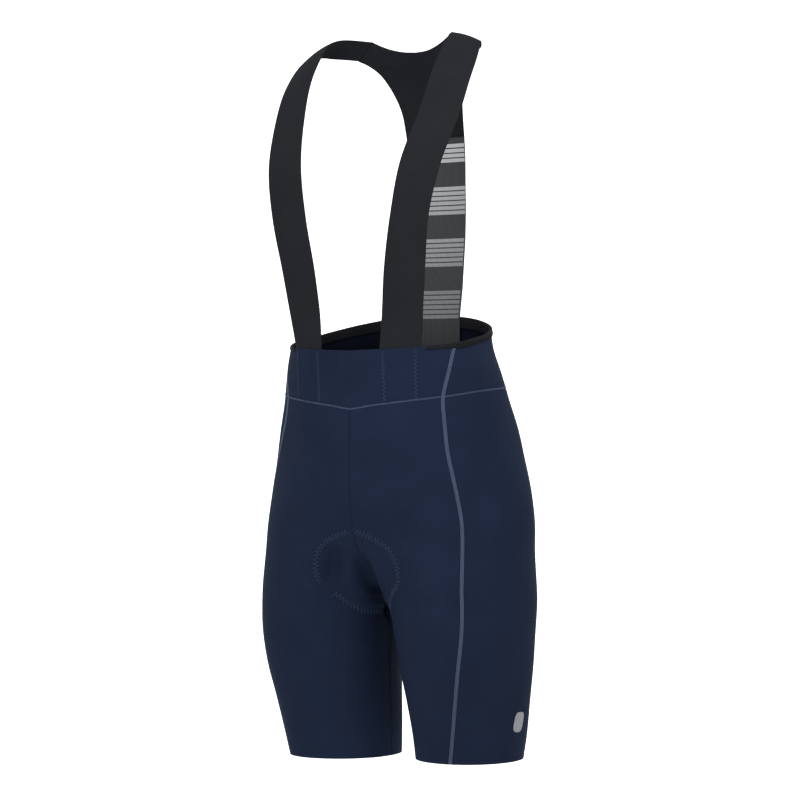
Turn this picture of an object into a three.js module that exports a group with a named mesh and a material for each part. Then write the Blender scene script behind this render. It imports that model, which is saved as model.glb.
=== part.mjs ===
import * as THREE from 'three';

// Cycling bib shorts, filled out as when worn. All sizes are in millimetres.
// The wearer faces -Y and their left side is +X.
// The origin is midway between the straps, at the height where they rest on the shoulders.

// Cloth thickness of each kind of piece
const LEG_WALL = 1.6;
const STRAP_WALL = 1.4;
const PANEL_WALL = 1.2;
const TAPE_WALL = 1.0;
// Free space between two sewn pieces
const SEAM_GAP = 0.3;

// Heights of the shorts
const HEM = -841;
const CROTCH = -648;
const LEG_BLEND_TOP = -530;

// Saddle between the legs: its radius, and the gap that it opens to below the crotch
const SADDLE_RADIUS = 10;
const LEG_GAP = 15;

// Sections of the trunk: half width, front and back limits along Y, and how square the oval is
const TRUNK = [
  { z: -315, halfWidth: 116, front: -88, back: 97, squareness: 2.35 },
  { z: -360, halfWidth: 121.5, front: -90, back: 98, squareness: 2.35 },
  { z: -390, halfWidth: 131, front: -88, back: 105, squareness: 2.3 },
  { z: -420, halfWidth: 138, front: -86, back: 114, squareness: 2.25 },
  { z: -455, halfWidth: 147, front: -87, back: 126, squareness: 2.2 },
  { z: -488, halfWidth: 154, front: -88, back: 133, squareness: 2.15 },
  { z: -530, halfWidth: 164, front: -87, back: 134, squareness: 2.1 },
  { z: -570, halfWidth: 171, front: -84, back: 128, squareness: 2.05 },
  { z: -610, halfWidth: 172, front: -80, back: 120, squareness: 2.0 },
  { z: -648, halfWidth: 172, front: -76, back: 112, squareness: 2.0 },
];

// Sections of the left leg: its middle, half width, half depth and sideways skew
const LEG = [
  { z: -530, x: 86, y: 20, halfWidth: 86, halfDepth: 100, skew: 0 },
  { z: -590, x: 86, y: 18, halfWidth: 86, halfDepth: 96, skew: 0 },
  { z: -648, x: 86, y: 17, halfWidth: 86, halfDepth: 90, skew: -0.02 },
  { z: -690, x: 87, y: 18, halfWidth: 83, halfDepth: 87, skew: -0.07 },
  { z: -732, x: 87.5, y: 22, halfWidth: 78, halfDepth: 83, skew: -0.08 },
  { z: -770, x: 86.5, y: 28, halfWidth: 72.5, halfDepth: 77.5, skew: -0.08 },
  { z: -815, x: 85, y: 35, halfWidth: 67, halfDepth: 72, skew: -0.08 },
  { z: -842, x: 83.5, y: 38, halfWidth: 63.5, halfDepth: 70, skew: -0.08 },
];

// A turn is a share of the way round one half of the body: 0 is the centre front, 1 the centre back.
// Upper edge of the waistband, and the seam below it
const RIM = [
  { turn: 0, z: -364 },
  { turn: 0.09, z: -362.5 },
  { turn: 0.23, z: -360 },
  { turn: 0.37, z: -356 },
  { turn: 0.5, z: -348 },
  { turn: 0.62, z: -339.5 },
  { turn: 0.74, z: -331 },
  { turn: 0.86, z: -324 },
  { turn: 1, z: -320 },
];
const WAIST_SEAM = [
  { turn: 0, z: -430.5 },
  { turn: 0.05, z: -426.5 },
  { turn: 0.1, z: -423.8 },
  { turn: 0.2, z: -419 },
  { turn: 0.3, z: -415 },
  { turn: 0.4, z: -410.5 },
  { turn: 0.5, z: -407.5 },
  { turn: 0.75, z: -404 },
  { turn: 1, z: -403 },
];

// The side seam's angle round the left leg at each height, from the inseam by way of the front
const SIDE_SEAM = [
  { z: -340, angle: 2.81 },
  { z: -355, angle: 2.714 },
  { z: -386, angle: 2.493 },
  { z: -416, angle: 2.323 },
  { z: -445, angle: 2.26 },
  { z: -474, angle: 2.22 },
  { z: -500, angle: 2.208 },
  { z: -547, angle: 2.18 },
  { z: -580, angle: 2.16 },
  { z: -612, angle: 2.157 },
  { z: -645, angle: 2.152 },
  { z: -688, angle: 2.136 },
  { z: -730, angle: 2.058 },
  { z: -774, angle: 1.965 },
  { z: -818, angle: 1.87 },
  { z: -842, angle: 1.828 },
];
// How much farther round to the back the seam runs on the right leg, which sits turned outwards
const RIGHT_SEAM_TURN = [
  { z: -430, angle: 0 },
  { z: -450, angle: 0.03 },
  { z: -474, angle: 0.13 },
  { z: -500, angle: 0.24 },
  { z: -547, angle: 0.38 },
  { z: -600, angle: 0.45 },
  { z: -690, angle: 0.47 },
  { z: -730, angle: 0.54 },
  { z: -774, angle: 0.63 },
  { z: -842, angle: 0.77 },
];

// Heights near which the side seam crosses the rim and the waist seam
const RIM_SIDE_Z = -355;
const SEAM_SIDE_Z = -416;

// Cells of the body's cloth: across each panel, and down the waistband and the legs
const FRONT_COLUMNS = 8;
const BACK_COLUMNS = 16;
const WAIST_ROWS = 4;
const LEG_ROWS = 24;
// Number of leg rows above the crotch, and how many of them follow the waist seam's bend
const ROWS_TO_CROTCH = 14;
const BEND_ROWS = 6;

// Left strap above the waistband: its inner edge towards the neck, its outer edge, and how far
// its middle is crowned over the straight line between them
const STRAP = [
  { innerX: 42, innerY: -84, innerZ: -330, outerX: 89, outerY: -73.5, outerZ: -330, crown: 0 },
  { innerX: 48, innerY: -89, innerZ: -270, outerX: 97, outerY: -81, outerZ: -270, crown: 0 },
  { innerX: 58, innerY: -92, innerZ: -210, outerX: 106, outerY: -88, outerZ: -210, crown: 0 },
  { innerX: 68, innerY: -87, innerZ: -150, outerX: 117, outerY: -80, outerZ: -152, crown: 0 },
  { innerX: 79, innerY: -63, innerZ: -90, outerX: 126, outerY: -53, outerZ: -94, crown: 0.5 },
  { innerX: 83, innerY: -42, innerZ: -45, outerX: 127, outerY: -33, outerZ: -56, crown: 1 },
  { innerX: 83, innerY: -16, innerZ: -10, outerX: 124, outerY: -11, outerZ: -28, crown: 1.5 },
  { innerX: 82, innerY: -3, innerZ: 1.5, outerX: 120, outerY: 2, outerZ: -16, crown: 2 },
  { innerX: 78, innerY: 9, innerZ: 6.2, outerX: 114.5, outerY: 15, outerZ: -8.5, crown: 2 },
  { innerX: 75, innerY: 18, innerZ: 7.7, outerX: 109.5, outerY: 25, outerZ: -9.5, crown: 2 },
  { innerX: 70, innerY: 26, innerZ: 7.9, outerX: 103, outerY: 33, outerZ: -11, crown: 1.5 },
  { innerX: 61.5, innerY: 36, innerZ: 7.2, outerX: 90.3, outerY: 42, outerZ: -12, crown: 0.7 },
  { innerX: 52.5, innerY: 44, innerZ: 6.1, outerX: 76.5, outerY: 50, outerZ: -13.4, crown: 0 },
];
// Edges of the strap's tail inside the waistband, and the share of its height that it reaches down
const TAIL_INNER_X = 40;
const TAIL_OUTER_X = 86;
const TAIL_SHARE = 0.93;
const TAIL_ROWS = 5;
const STRAP_ROWS = 24;
const STRAP_COLUMNS = 3;

// Neckline of the yoke from the centre back to the left strap, and its armhole edge
// from the strap down to the back panel's corner
const NECKLINE = [
  { x: 0, y: 58, z: -7.9 },
  { x: 16, y: 56, z: -6.8 },
  { x: 32, y: 51, z: -3.1 },
  { x: 46, y: 46.5, z: 2.6 },
  { x: 52.5, y: 44, z: 6.1 },
];
const ARMHOLE = [
  { x: 76.5, y: 50, z: -13.4 },
  { x: 68.5, y: 60, z: -18.5 },
  { x: 57.5, y: 71.2, z: -30 },
  { x: 47.6, y: 85.8, z: -53 },
  { x: 42.4, y: 95.3, z: -75 },
  { x: 40.2, y: 102.6, z: -105 },
];
// How the yoke's middle line leaves the neckline and meets the panel's seam
const YOKE_TOP_PULL = new THREE.Vector3(0, 22, -20);
const YOKE_BOTTOM_PULL = new THREE.Vector3(0, 9, -42);
const YOKE_COLUMNS = 12;
const YOKE_ROWS = 10;
// Rows of the yoke along the strap's seam, and how far short of that seam both pieces end
const YOKE_SEAM_ROWS = 2;
const STRAP_SEAM_REACH = 0.5;

// Back panel from the yoke down to the waistband: half width, and Y at its edge and its middle
const BACK_PANEL = [
  { z: -105, halfWidth: 40.2, edgeY: 102.6, middleY: 106.8 },
  { z: -130, halfWidth: 39.8, edgeY: 105.6, middleY: 109.9 },
  { z: -164, halfWidth: 39.6, edgeY: 106.6, middleY: 111 },
  { z: -198, halfWidth: 40, edgeY: 106.5, middleY: 110.8 },
  { z: -227, halfWidth: 40.5, edgeY: 104.5, middleY: 108.5 },
  { z: -260, halfWidth: 40.8, edgeY: 100.5, middleY: 104.5 },
  { z: -287, halfWidth: 41.7, edgeY: 96.2, middleY: 100.2 },
];
// The panel's tail inside the back waistband, and the share of its height that it reaches down
const PANEL_TAIL_HALF_WIDTH = 42;
const PANEL_TAIL_SHARE = 0.9;
const PANEL_TAIL_ROWS = 5;
const PANEL_ROWS = 11;
const PANEL_COLUMNS = 6;

// Elastic tape folded over the waistband's edge from strap to strap, round the back
const TAPE_INNER_DROP = 12;
const TAPE_BACK_DROP = 7.5;
const TAPE_FRONT_DROP = 3.5;
const TAPE_START_X = 89;

// Seat pad: half its width at each distance from the crotch point along the centre seams,
// forwards below zero and backwards above it
const PAD = [
  { along: -136, halfWidth: 6 },
  { along: -132, halfWidth: 17 },
  { along: -122, halfWidth: 40 },
  { along: -105, halfWidth: 55 },
  { along: -85, halfWidth: 58 },
  { along: -60, halfWidth: 41 },
  { along: -35, halfWidth: 30 },
  { along: -10, halfWidth: 26 },
  { along: 20, halfWidth: 31 },
  { along: 50, halfWidth: 48 },
  { along: 85, halfWidth: 67 },
  { along: 115, halfWidth: 76 },
  { along: 140, halfWidth: 70 },
  { along: 158, halfWidth: 45 },
  { along: 165, halfWidth: 10 },
];
// Where the legs' cloth folds under the crotch the pad bridges the fold and lies a little off it
const PAD_LIFT = 3.3;
const PAD_LIFT_AT = -55;
const PAD_LIFT_REACH = 120;
const PAD_EDGE = 2;
const PAD_MIDDLE = 8;
const PAD_ROWS = 26;
const PAD_COLUMNS = 8;
const PAD_STEP = 6;
// Rows of the body's grid above and below the crotch on which the pad lies
const SEAT_ROWS_ABOVE = 12;
const SEAT_ROWS_BELOW = 6;

const NAVY = new THREE.Color('#20293f');
const BLACK = new THREE.Color('#26292b');
const MESH_GREY = new THREE.Color('#3a3c3e');
const PAD_GREY = new THREE.Color('#2b3038');

// Values and curves

const mix = THREE.MathUtils.lerp;

function easeBetween(low, high, value) {
  return THREE.MathUtils.smoothstep(value, Math.min(low, high), Math.max(low, high));
}

// Slope of a column at one row of a table, from the rows beside it
function slopeAt(table, key, column, k) {
  const last = table.length - 1;
  const rise = (a, b) => (table[b][column] - table[a][column]) / (table[b][key] - table[a][key]);
  if (k === 0) return rise(0, 1);
  if (k === last) return rise(last - 1, last);
  const before = Math.abs(table[k][key] - table[k - 1][key]);
  const after = Math.abs(table[k + 1][key] - table[k][key]);
  return (rise(k - 1, k) * after + rise(k, k + 1) * before) / (before + after);
}

// Value of a column on a smooth curve through the rows, held at the table's ends
function curveAt(table, key, column, at) {
  const last = table.length - 1;
  const sign = Math.sign(table[last][key] - table[0][key]);
  if ((at - table[0][key]) * sign <= 0) return table[0][column];
  if ((at - table[last][key]) * sign >= 0) return table[last][column];
  let k = 0;
  while ((at - table[k + 1][key]) * sign > 0) k += 1;
  const span = table[k + 1][key] - table[k][key];
  const u = (at - table[k][key]) / span;
  const from = slopeAt(table, key, column, k) * span;
  const to = slopeAt(table, key, column, k + 1) * span;
  const a = table[k][column];
  const b = table[k + 1][column];
  return a + u * from + u * u * (3 * (b - a) - 2 * from - to) + u * u * u * (from + to - 2 * (b - a));
}

const rimHeight = (turn) => curveAt(RIM, 'turn', 'z', turn);
const seamHeight = (turn) => curveAt(WAIST_SEAM, 'turn', 'z', turn);

// The body's outer surface

function trunkPoint(turn, z) {
  const [halfWidth, front, back, squareness] = ['halfWidth', 'front', 'back', 'squareness'].map(
    (column) => curveAt(TRUNK, 'z', column, z),
  );
  const angle = Math.PI * turn;
  const across = Math.abs(Math.sin(angle)) ** (2 / squareness);
  const along = Math.sign(Math.cos(angle)) * Math.abs(Math.cos(angle)) ** (2 / squareness);
  return new THREE.Vector3(halfWidth * across, (front + back) / 2 - ((back - front) / 2) * along, z);
}

// Opening of the saddle: how much x squared grows below the crotch, and shrinks above it
function saddleTerm(z) {
  const below = CROTCH - z;
  if (below <= 0) return 2 * SADDLE_RADIUS * below;
  return (2 * SADDLE_RADIUS * below) / (1 + (2 * SADDLE_RADIUS * below) / LEG_GAP ** 2);
}

// Angle round the left leg at which the centre front begins: 0 at the inseam
function legStart(z) {
  if (z <= CROTCH) return 0;
  const middle = curveAt(LEG, 'z', 'x', z);
  const halfWidth = curveAt(LEG, 'z', 'halfWidth', z);
  const cosine = (middle - Math.sqrt(-saddleTerm(z))) / halfWidth;
  return Math.acos(THREE.MathUtils.clamp(cosine, -1, 1));
}

const legAngle = (turn, z) => mix(legStart(z), 2 * Math.PI - legStart(z), turn);
const turnOfAngle = (angle, z) => (angle - legStart(z)) / (2 * Math.PI - 2 * legStart(z));
const sideTurn = (z) => turnOfAngle(curveAt(SIDE_SEAM, 'z', 'angle', z), z);

function legPoint(turn, z) {
  const [x, y, halfWidth, halfDepth, skew] = ['x', 'y', 'halfWidth', 'halfDepth', 'skew'].map(
    (column) => curveAt(LEG, 'z', column, z),
  );
  const angle = legAngle(turn, z);
  const squared = (x - halfWidth * Math.cos(angle)) ** 2 + saddleTerm(z);
  const px = Math.sqrt(Math.max(squared, 0));
  return new THREE.Vector3(px, y - halfDepth * Math.sin(angle) + skew * (px - x), z);
}

function bodyPoint(turn, z) {
  const share = 1 - easeBetween(CROTCH, LEG_BLEND_TOP, z);
  return trunkPoint(turn, z).lerp(legPoint(turn, z), share);
}

// The body's grid: rows from the waistband's edge to the hem, columns from the centre front
// round the left side to the centre back

const SIDE = FRONT_COLUMNS;
const LAST_COLUMN = FRONT_COLUMNS + BACK_COLUMNS;
const CROTCH_ROW = WAIST_ROWS + ROWS_TO_CROTCH;
const LAST_ROW = WAIST_ROWS + LEG_ROWS;

// Heights that divide a centre seam into equal lengths from the waist seam to the crotch
function centreHeights(turn) {
  const samples = 400;
  const top = seamHeight(turn);
  const trail = Array.from({ length: samples + 1 }, (_, k) => {
    const z = CROTCH + (top - CROTCH) * (1 - k / samples) ** 2;
    return bodyPoint(turn, z);
  });
  const lengths = [0];
  for (let k = 1; k <= samples; k += 1) {
    lengths.push(lengths[k - 1] + trail[k].distanceTo(trail[k - 1]));
  }
  return Array.from({ length: ROWS_TO_CROTCH + 1 }, (_, row) => {
    const wanted = (lengths[samples] * row) / ROWS_TO_CROTCH;
    const k = Math.max(1, lengths.findIndex((length) => length >= wanted - 1e-9));
    const u = (wanted - lengths[k - 1]) / (lengths[k] - lengths[k - 1]);
    return mix(trail[k - 1].z, trail[k].z, u);
  });
}

function waistNode(row, column) {
  const share = row / WAIST_ROWS;
  const sideStart = sideTurn(rimHeight(sideTurn(RIM_SIDE_Z)));
  const sideEnd = sideTurn(seamHeight(sideTurn(SEAM_SIDE_Z)));
  const height = mix(rimHeight(sideStart), seamHeight(sideEnd), share);
  const side = sideTurn(height);
  const front = column <= SIDE;
  const turn = front ? (side * column) / SIDE : mix(side, 1, (column - SIDE) / BACK_COLUMNS);
  return { turn, z: mix(rimHeight(turn), seamHeight(turn), share) };
}

function legNode(row, column, centre, seamTurn) {
  const front = column <= SIDE;
  const t = front ? column / SIDE : (LAST_COLUMN - column) / BACK_COLUMNS;
  const place = (at) => ({ angle: legAngle(at.turn, at.z), z: at.z });
  const topInner = place(waistNode(WAIST_ROWS, front ? 0 : LAST_COLUMN));
  const topSide = place(waistNode(WAIST_ROWS, SIDE));
  const top = place(waistNode(WAIST_ROWS, column));
  const below = (row - ROWS_TO_CROTCH) / (LEG_ROWS - ROWS_TO_CROTCH);
  const innerZ = below <= 0 ? centre[front ? 'front' : 'back'][row] : mix(CROTCH, HEM, below);
  const inner = place({ turn: front ? 0 : 1, z: innerZ });
  const sideZ = mix(topSide.z, HEM, row / LEG_ROWS);
  const side = place({ turn: sideTurn(sideZ), z: sideZ });
  side.angle += seamTurn(sideZ);
  const fade = Math.max(0, 1 - row / BEND_ROWS) ** 2;
  const bend = (key) => top[key] - mix(topInner[key], topSide[key], t);
  const angle = mix(inner.angle, side.angle, t) + fade * bend('angle');
  const z = mix(inner.z, side.z, t) + fade * bend('z');
  return { turn: turnOfAngle(angle, z), z };
}

function gridOfHalf(seamTurn) {
  const centre = { front: centreHeights(0), back: centreHeights(1) };
  return Array.from({ length: LAST_ROW + 1 }, (_, row) =>
    Array.from({ length: LAST_COLUMN + 1 }, (__, column) => {
      const waist = row <= WAIST_ROWS;
      const at = waist ? waistNode(row, column) : legNode(row - WAIST_ROWS, column, centre, seamTurn);
      return bodyPoint(at.turn, at.z);
    }),
  );
}

const leftGrid = gridOfHalf(() => 0);
// The right half's grid, mirrored to the left side
const rightGrid = gridOfHalf((z) => curveAt(RIGHT_SEAM_TURN, 'z', 'angle', z));

const mirrored = (point) => new THREE.Vector3(-point.x, point.y, point.z);

// A node of a grid. Past the centre seams it is the other half's, and round the leg below them.
function bodyNode(row, column, grid = leftGrid) {
  if (column >= 0 && column <= LAST_COLUMN) return grid[row][column];
  if (row >= CROTCH_ROW) return grid[row][column < 0 ? LAST_COLUMN + column : column - LAST_COLUMN];
  return mirrored(grid[row][column < 0 ? -column : 2 * LAST_COLUMN - column]);
}

function acrossAt(row, column, grid = leftGrid) {
  return bodyNode(row, column + 1, grid).clone().sub(bodyNode(row, column - 1, grid)).normalize();
}

function downAt(row, column, grid = leftGrid) {
  const upper = bodyNode(Math.max(row - 1, 0), column, grid);
  return bodyNode(Math.min(row + 1, LAST_ROW), column, grid).clone().sub(upper).normalize();
}

function bodyNormal(row, column, grid = leftGrid) {
  if (column < 0) return mirrored(bodyNormal(row, -column, grid));
  if (column > LAST_COLUMN) return mirrored(bodyNormal(row, 2 * LAST_COLUMN - column, grid));
  const onSeam = column === 0 || column === LAST_COLUMN;
  if (row === CROTCH_ROW && onSeam) return new THREE.Vector3(0, 0, -1);
  return downAt(row, column, grid).cross(acrossAt(row, column, grid)).normalize();
}

// A place between the nodes of the waistband's grid, moved out along the surface's direction
function onWaistband(row, column, out) {
  const [r, c] = [Math.min(Math.floor(row), WAIST_ROWS - 1), Math.floor(column)];
  const [u, v] = [row - r, column - c];
  const between = (pick) => {
    const upper = pick(r, c).clone().lerp(pick(r, c + 1), v);
    return upper.lerp(pick(r + 1, c).clone().lerp(pick(r + 1, c + 1), v), u);
  };
  return between(bodyNode).addScaledVector(between(bodyNormal).normalize(), out);
}

// The column of the waistband's grid at a distance x from the middle, at the front or the back
function columnAtX(row, x, atBack) {
  let column = atBack ? LAST_COLUMN : 0;
  const inward = atBack ? -1 : 1;
  const xAt = (at) => onWaistband(row, at, 0).x;
  while (xAt(column + inward) < Math.abs(x)) column += inward;
  const share = (Math.abs(x) - xAt(column)) / (xAt(column + inward) - xAt(column));
  const found = column + inward * share;
  if (x >= 0) return found;
  return atBack ? 2 * LAST_COLUMN - found : -found;
}

// Closed solids

const offset = (point, direction, distance) => point.clone().addScaledVector(direction, distance);

function meshOf(name, points, triangles, material, reversed) {
  const geometry = new THREE.BufferGeometry();
  const order = reversed ? triangles.map(([a, b, c]) => [a, c, b]) : triangles;
  geometry.setAttribute('position', new THREE.Float32BufferAttribute(points.flatMap((p) => p.toArray()), 3));
  geometry.setIndex(order.flat());
  geometry.computeVertexNormals();
  const mesh = new THREE.Mesh(geometry, material);
  mesh.name = name;
  return mesh;
}

// A wall between two sheets of points, rows down the piece and columns across it. The outer sheet's
// outward side is down crossed with across.
function wall(name, outer, inner, material, reversed = false) {
  const rows = outer.length;
  const columns = outer[0].length;
  const points = [...outer.flat(), ...inner.flat()];
  const at = (row, column, isInner) => (isInner ? rows * columns : 0) + row * columns + column;
  const triangles = [];
  const quad = (a, b, c, d) => triangles.push([a, b, c], [a, c, d]);
  for (let row = 0; row < rows - 1; row += 1) {
    for (let column = 0; column < columns - 1; column += 1) {
      const corners = [[row, column], [row + 1, column], [row + 1, column + 1], [row, column + 1]];
      quad(...corners.map(([r, c]) => at(r, c, false)));
      quad(...corners.reverse().map(([r, c]) => at(r, c, true)));
    }
    const left = [at(row, 0, true), at(row + 1, 0, true), at(row + 1, 0, false), at(row, 0, false)];
    const end = columns - 1;
    quad(...left);
    quad(at(row, end, false), at(row + 1, end, false), at(row + 1, end, true), at(row, end, true));
  }
  const end = rows - 1;
  for (let column = 0; column < columns - 1; column += 1) {
    const next = column + 1;
    quad(at(0, column, false), at(0, next, false), at(0, next, true), at(0, column, true));
    quad(at(end, column, true), at(end, next, true), at(end, next, false), at(end, column, false));
  }
  return meshOf(name, points, triangles, material, reversed);
}

// Direction across the outward side of a sheet at one of its points
function sheetNormal(sheet, row, column) {
  const rows = sheet.length - 1;
  const columns = sheet[0].length - 1;
  const down = sheet[Math.min(row + 1, rows)][column].clone().sub(sheet[Math.max(row - 1, 0)][column]);
  const across = sheet[row][Math.min(column + 1, columns)].clone().sub(sheet[row][Math.max(column - 1, 0)]);
  return down.cross(across).normalize();
}

function wallBehind(name, outer, thickness, material, reversed = false) {
  const side = reversed ? -1 : 1;
  const inner = outer.map((line, row) =>
    line.map((point, column) => offset(point, sheetNormal(outer, row, column), -thickness * side)),
  );
  return wall(name, outer, inner, material, reversed);
}

const mirrorSheet = (sheet) => sheet.map((line) => line.map(mirrored));

function material(colour, roughness) {
  return new THREE.MeshStandardMaterial({ color: colour, roughness, metalness: 0 });
}

// Leg panels and waistbands

// Cuts a panel out of a half's grid, half a seam gap back from each of its edges
function bodyPanel(name, rows, columns, grid = leftGrid) {
  const [top, bottom] = rows;
  const [first, last] = columns;
  const reach = SEAM_GAP / 2;
  const outer = [];
  const inner = [];
  for (let row = top; row <= bottom; row += 1) {
    const outerLine = [];
    const innerLine = [];
    for (let column = first; column <= last; column += 1) {
      const point = bodyNode(row, column, grid).clone();
      if (column === first) point.addScaledVector(acrossAt(row, column, grid), reach);
      if (column === last) point.addScaledVector(acrossAt(row, column, grid), -reach);
      if (row === top) point.addScaledVector(downAt(row, column, grid), reach);
      if (row === bottom) point.addScaledVector(downAt(row, column, grid), -reach);
      const behind = offset(point, bodyNormal(row, column, grid), -LEG_WALL);
      const ownSide = first >= 0 && last <= LAST_COLUMN;
      [point, behind].forEach((p) => (ownSide ? p.setX(Math.max(p.x, reach)) : p));
      outerLine.push(point);
      innerLine.push(behind);
    }
    outer.push(outerLine);
    inner.push(innerLine);
  }
  const cloth = material(NAVY, 0.78);
  if (grid === leftGrid) return wall(name, outer, inner, cloth);
  return wall(name, mirrorSheet(outer), mirrorSheet(inner), cloth, true);
}

function shorts() {
  const legs = [WAIST_ROWS, LAST_ROW];
  const band = [0, WAIST_ROWS];
  return [
    bodyPanel('leg_front_left', legs, [0, SIDE]),
    bodyPanel('leg_front_right', legs, [0, SIDE], rightGrid),
    bodyPanel('leg_back_left', legs, [SIDE, LAST_COLUMN]),
    bodyPanel('leg_back_right', legs, [SIDE, LAST_COLUMN], rightGrid),
    bodyPanel('waistband_front', band, [-SIDE, SIDE]),
    bodyPanel('waistband_back', band, [SIDE, 2 * LAST_COLUMN - SIDE]),
  ];
}

// Elastic tape over the waistband's edge

function tapeSection(column, outDrop) {
  const height = bodyNode(0, Math.floor(column)).distanceTo(bodyNode(1, Math.floor(column)));
  const top = onWaistband(0, column, 0);
  const up = top.clone().sub(onWaistband(1, column, 0)).normalize();
  const normal = onWaistband(0, column, 1).sub(top);
  const place = (out, drop) => {
    const foot = drop > 0 ? onWaistband(drop / height, column, 0) : offset(top, up, -drop);
    return offset(foot, normal, out);
  };
  const outside = SEAM_GAP;
  const inside = -LEG_WALL - SEAM_GAP;
  return [
    place(outside, outDrop),
    place(outside + TAPE_WALL, outDrop),
    place(outside + TAPE_WALL, -SEAM_GAP - TAPE_WALL),
    place(inside - TAPE_WALL, -SEAM_GAP - TAPE_WALL),
    place(inside - TAPE_WALL, TAPE_INNER_DROP),
    place(inside, TAPE_INNER_DROP),
    place(inside, -SEAM_GAP),
    place(outside, -SEAM_GAP),
  ];
}

// A closed body swept through sections that all have the same number of points
function sweep(name, sections, faces, cloth) {
  const size = sections[0].length;
  const triangles = [];
  for (let k = 0; k < sections.length - 1; k += 1) {
    for (let p = 0; p < size; p += 1) {
      const q = (p + 1) % size;
      const [a, b, c, d] = [k * size + p, k * size + q, (k + 1) * size + q, (k + 1) * size + p];
      triangles.push([a, c, b], [a, d, c]);
    }
  }
  const lastStart = (sections.length - 1) * size;
  faces.forEach(([a, b, c]) => {
    triangles.push([a, b, c]);
    triangles.push([lastStart + a, lastStart + c, lastStart + b]);
  });
  return meshOf(name, sections.flat(), triangles, cloth);
}

function waistTape() {
  const start = columnAtX(0, TAPE_START_X, false);
  const stations = [{ column: start, drop: TAPE_FRONT_DROP }];
  for (let column = Math.ceil(start); column < SIDE; column += 1) {
    stations.push({ column, drop: TAPE_FRONT_DROP });
  }
  stations.push({ column: SIDE, drop: mix(TAPE_FRONT_DROP, TAPE_BACK_DROP, 0.5) });
  for (let column = SIDE + 1; column <= LAST_COLUMN; column += 1) {
    stations.push({ column, drop: TAPE_BACK_DROP });
  }
  const left = stations.map(({ column, drop }) => tapeSection(column, drop));
  const right = left.slice(0, -1).reverse().map((section) => section.map(mirrored));
  const ends = [[0, 1, 2], [0, 2, 7], [7, 2, 3], [7, 3, 6], [6, 3, 4], [6, 4, 5]];
  return sweep('waist_binding', [...left, ...right], ends, material(BLACK, 0.85));
}

// Straps

function strapEdge(side) {
  const points = STRAP.map((row) => new THREE.Vector3(row[`${side}X`], row[`${side}Y`], row[`${side}Z`]));
  return new THREE.CatmullRomCurve3(points, false, 'centripetal');
}

function crownAt(share) {
  const place = share * (STRAP.length - 1);
  const k = Math.min(Math.floor(place), STRAP.length - 2);
  return mix(STRAP[k].crown, STRAP[k + 1].crown, place - k);
}

function leftStrapSheet() {
  const inner = strapEdge('inner');
  const outer = strapEdge('outer');
  const sheet = [];
  for (let row = 0; row < TAIL_ROWS; row += 1) {
    const line = [];
    for (let column = 0; column <= STRAP_COLUMNS; column += 1) {
      const x = mix(TAIL_INNER_X, TAIL_OUTER_X, column / STRAP_COLUMNS);
      const down = WAIST_ROWS * TAIL_SHARE * (1 - row / (TAIL_ROWS - 1));
      line.push(onWaistband(down, columnAtX(down, x, false), -LEG_WALL - SEAM_GAP));
    }
    sheet.push(line);
  }
  for (let row = 0; row <= STRAP_ROWS; row += 1) {
    const share = row / STRAP_ROWS;
    const from = inner.getPoint(share);
    const to = outer.getPoint(share);
    const out = to.clone().sub(from).cross(inner.getTangent(share)).normalize();
    const line = [];
    for (let column = 0; column <= STRAP_COLUMNS; column += 1) {
      const across = column / STRAP_COLUMNS;
      const crown = crownAt(share) * 4 * across * (1 - across);
      line.push(offset(from.clone().lerp(to, across), out, crown));
    }
    sheet.push(line);
  }
  const end = sheet[sheet.length - 1];
  const before = sheet[sheet.length - 2];
  end.forEach((point, k) => point.add(before[k].clone().sub(point).setLength(STRAP_SEAM_REACH)));
  // Rows run down the piece, as on every other sheet
  return sheet.reverse();
}

function straps() {
  const sheet = leftStrapSheet();
  const cloth = () => material(BLACK, 0.85);
  const left = wallBehind('strap_left', sheet, STRAP_WALL, cloth());
  const right = wallBehind('strap_right', mirrorSheet(sheet), STRAP_WALL, cloth(), true);
  return [left, right];
}

// Back yoke

const curveThrough = (rows) =>
  new THREE.CatmullRomCurve3(rows.map((row) => new THREE.Vector3(row.x, row.y, row.z)), false, 'centripetal');

// Half of the yoke between its four edges: rows from the neckline down to the back panel and
// columns from the centre back out to the strap's seam and the armhole
function yokeHalf() {
  const neck = curveThrough(NECKLINE);
  const arm = curveThrough(ARMHOLE);
  const strapTop = neck.getPoint(1);
  const strapBottom = arm.getPoint(0);
  const { halfWidth, edgeY, middleY, z } = BACK_PANEL[0];
  const seam = (u) => new THREE.Vector3(halfWidth * u, mix(middleY, edgeY, u * u), z);
  const side = (row) => {
    if (row <= YOKE_SEAM_ROWS) return strapTop.clone().lerp(strapBottom, row / YOKE_SEAM_ROWS);
    return arm.getPoint((row - YOKE_SEAM_ROWS) / (YOKE_ROWS - YOKE_SEAM_ROWS));
  };
  const [top, bottom] = [neck.getPoint(0), seam(0)];
  const middle = new THREE.CubicBezierCurve3(
    top,
    top.clone().add(YOKE_TOP_PULL),
    bottom.clone().sub(YOKE_BOTTOM_PULL),
    bottom,
  );
  const half = [];
  for (let row = 0; row <= YOKE_ROWS; row += 1) {
    const v = row / YOKE_ROWS;
    const atMiddle = middle.getPoint(v).sub(top.clone().lerp(bottom, v));
    const atSide = side(row).sub(strapTop.clone().lerp(seam(1), v));
    const line = [];
    for (let column = 0; column <= YOKE_COLUMNS; column += 1) {
      const u = column / YOKE_COLUMNS;
      const between = neck.getPoint(u).lerp(seam(u), v);
      line.push(between.addScaledVector(atMiddle, 1 - u).addScaledVector(atSide, u));
    }
    half.push(line);
  }
  return half;
}

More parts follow.
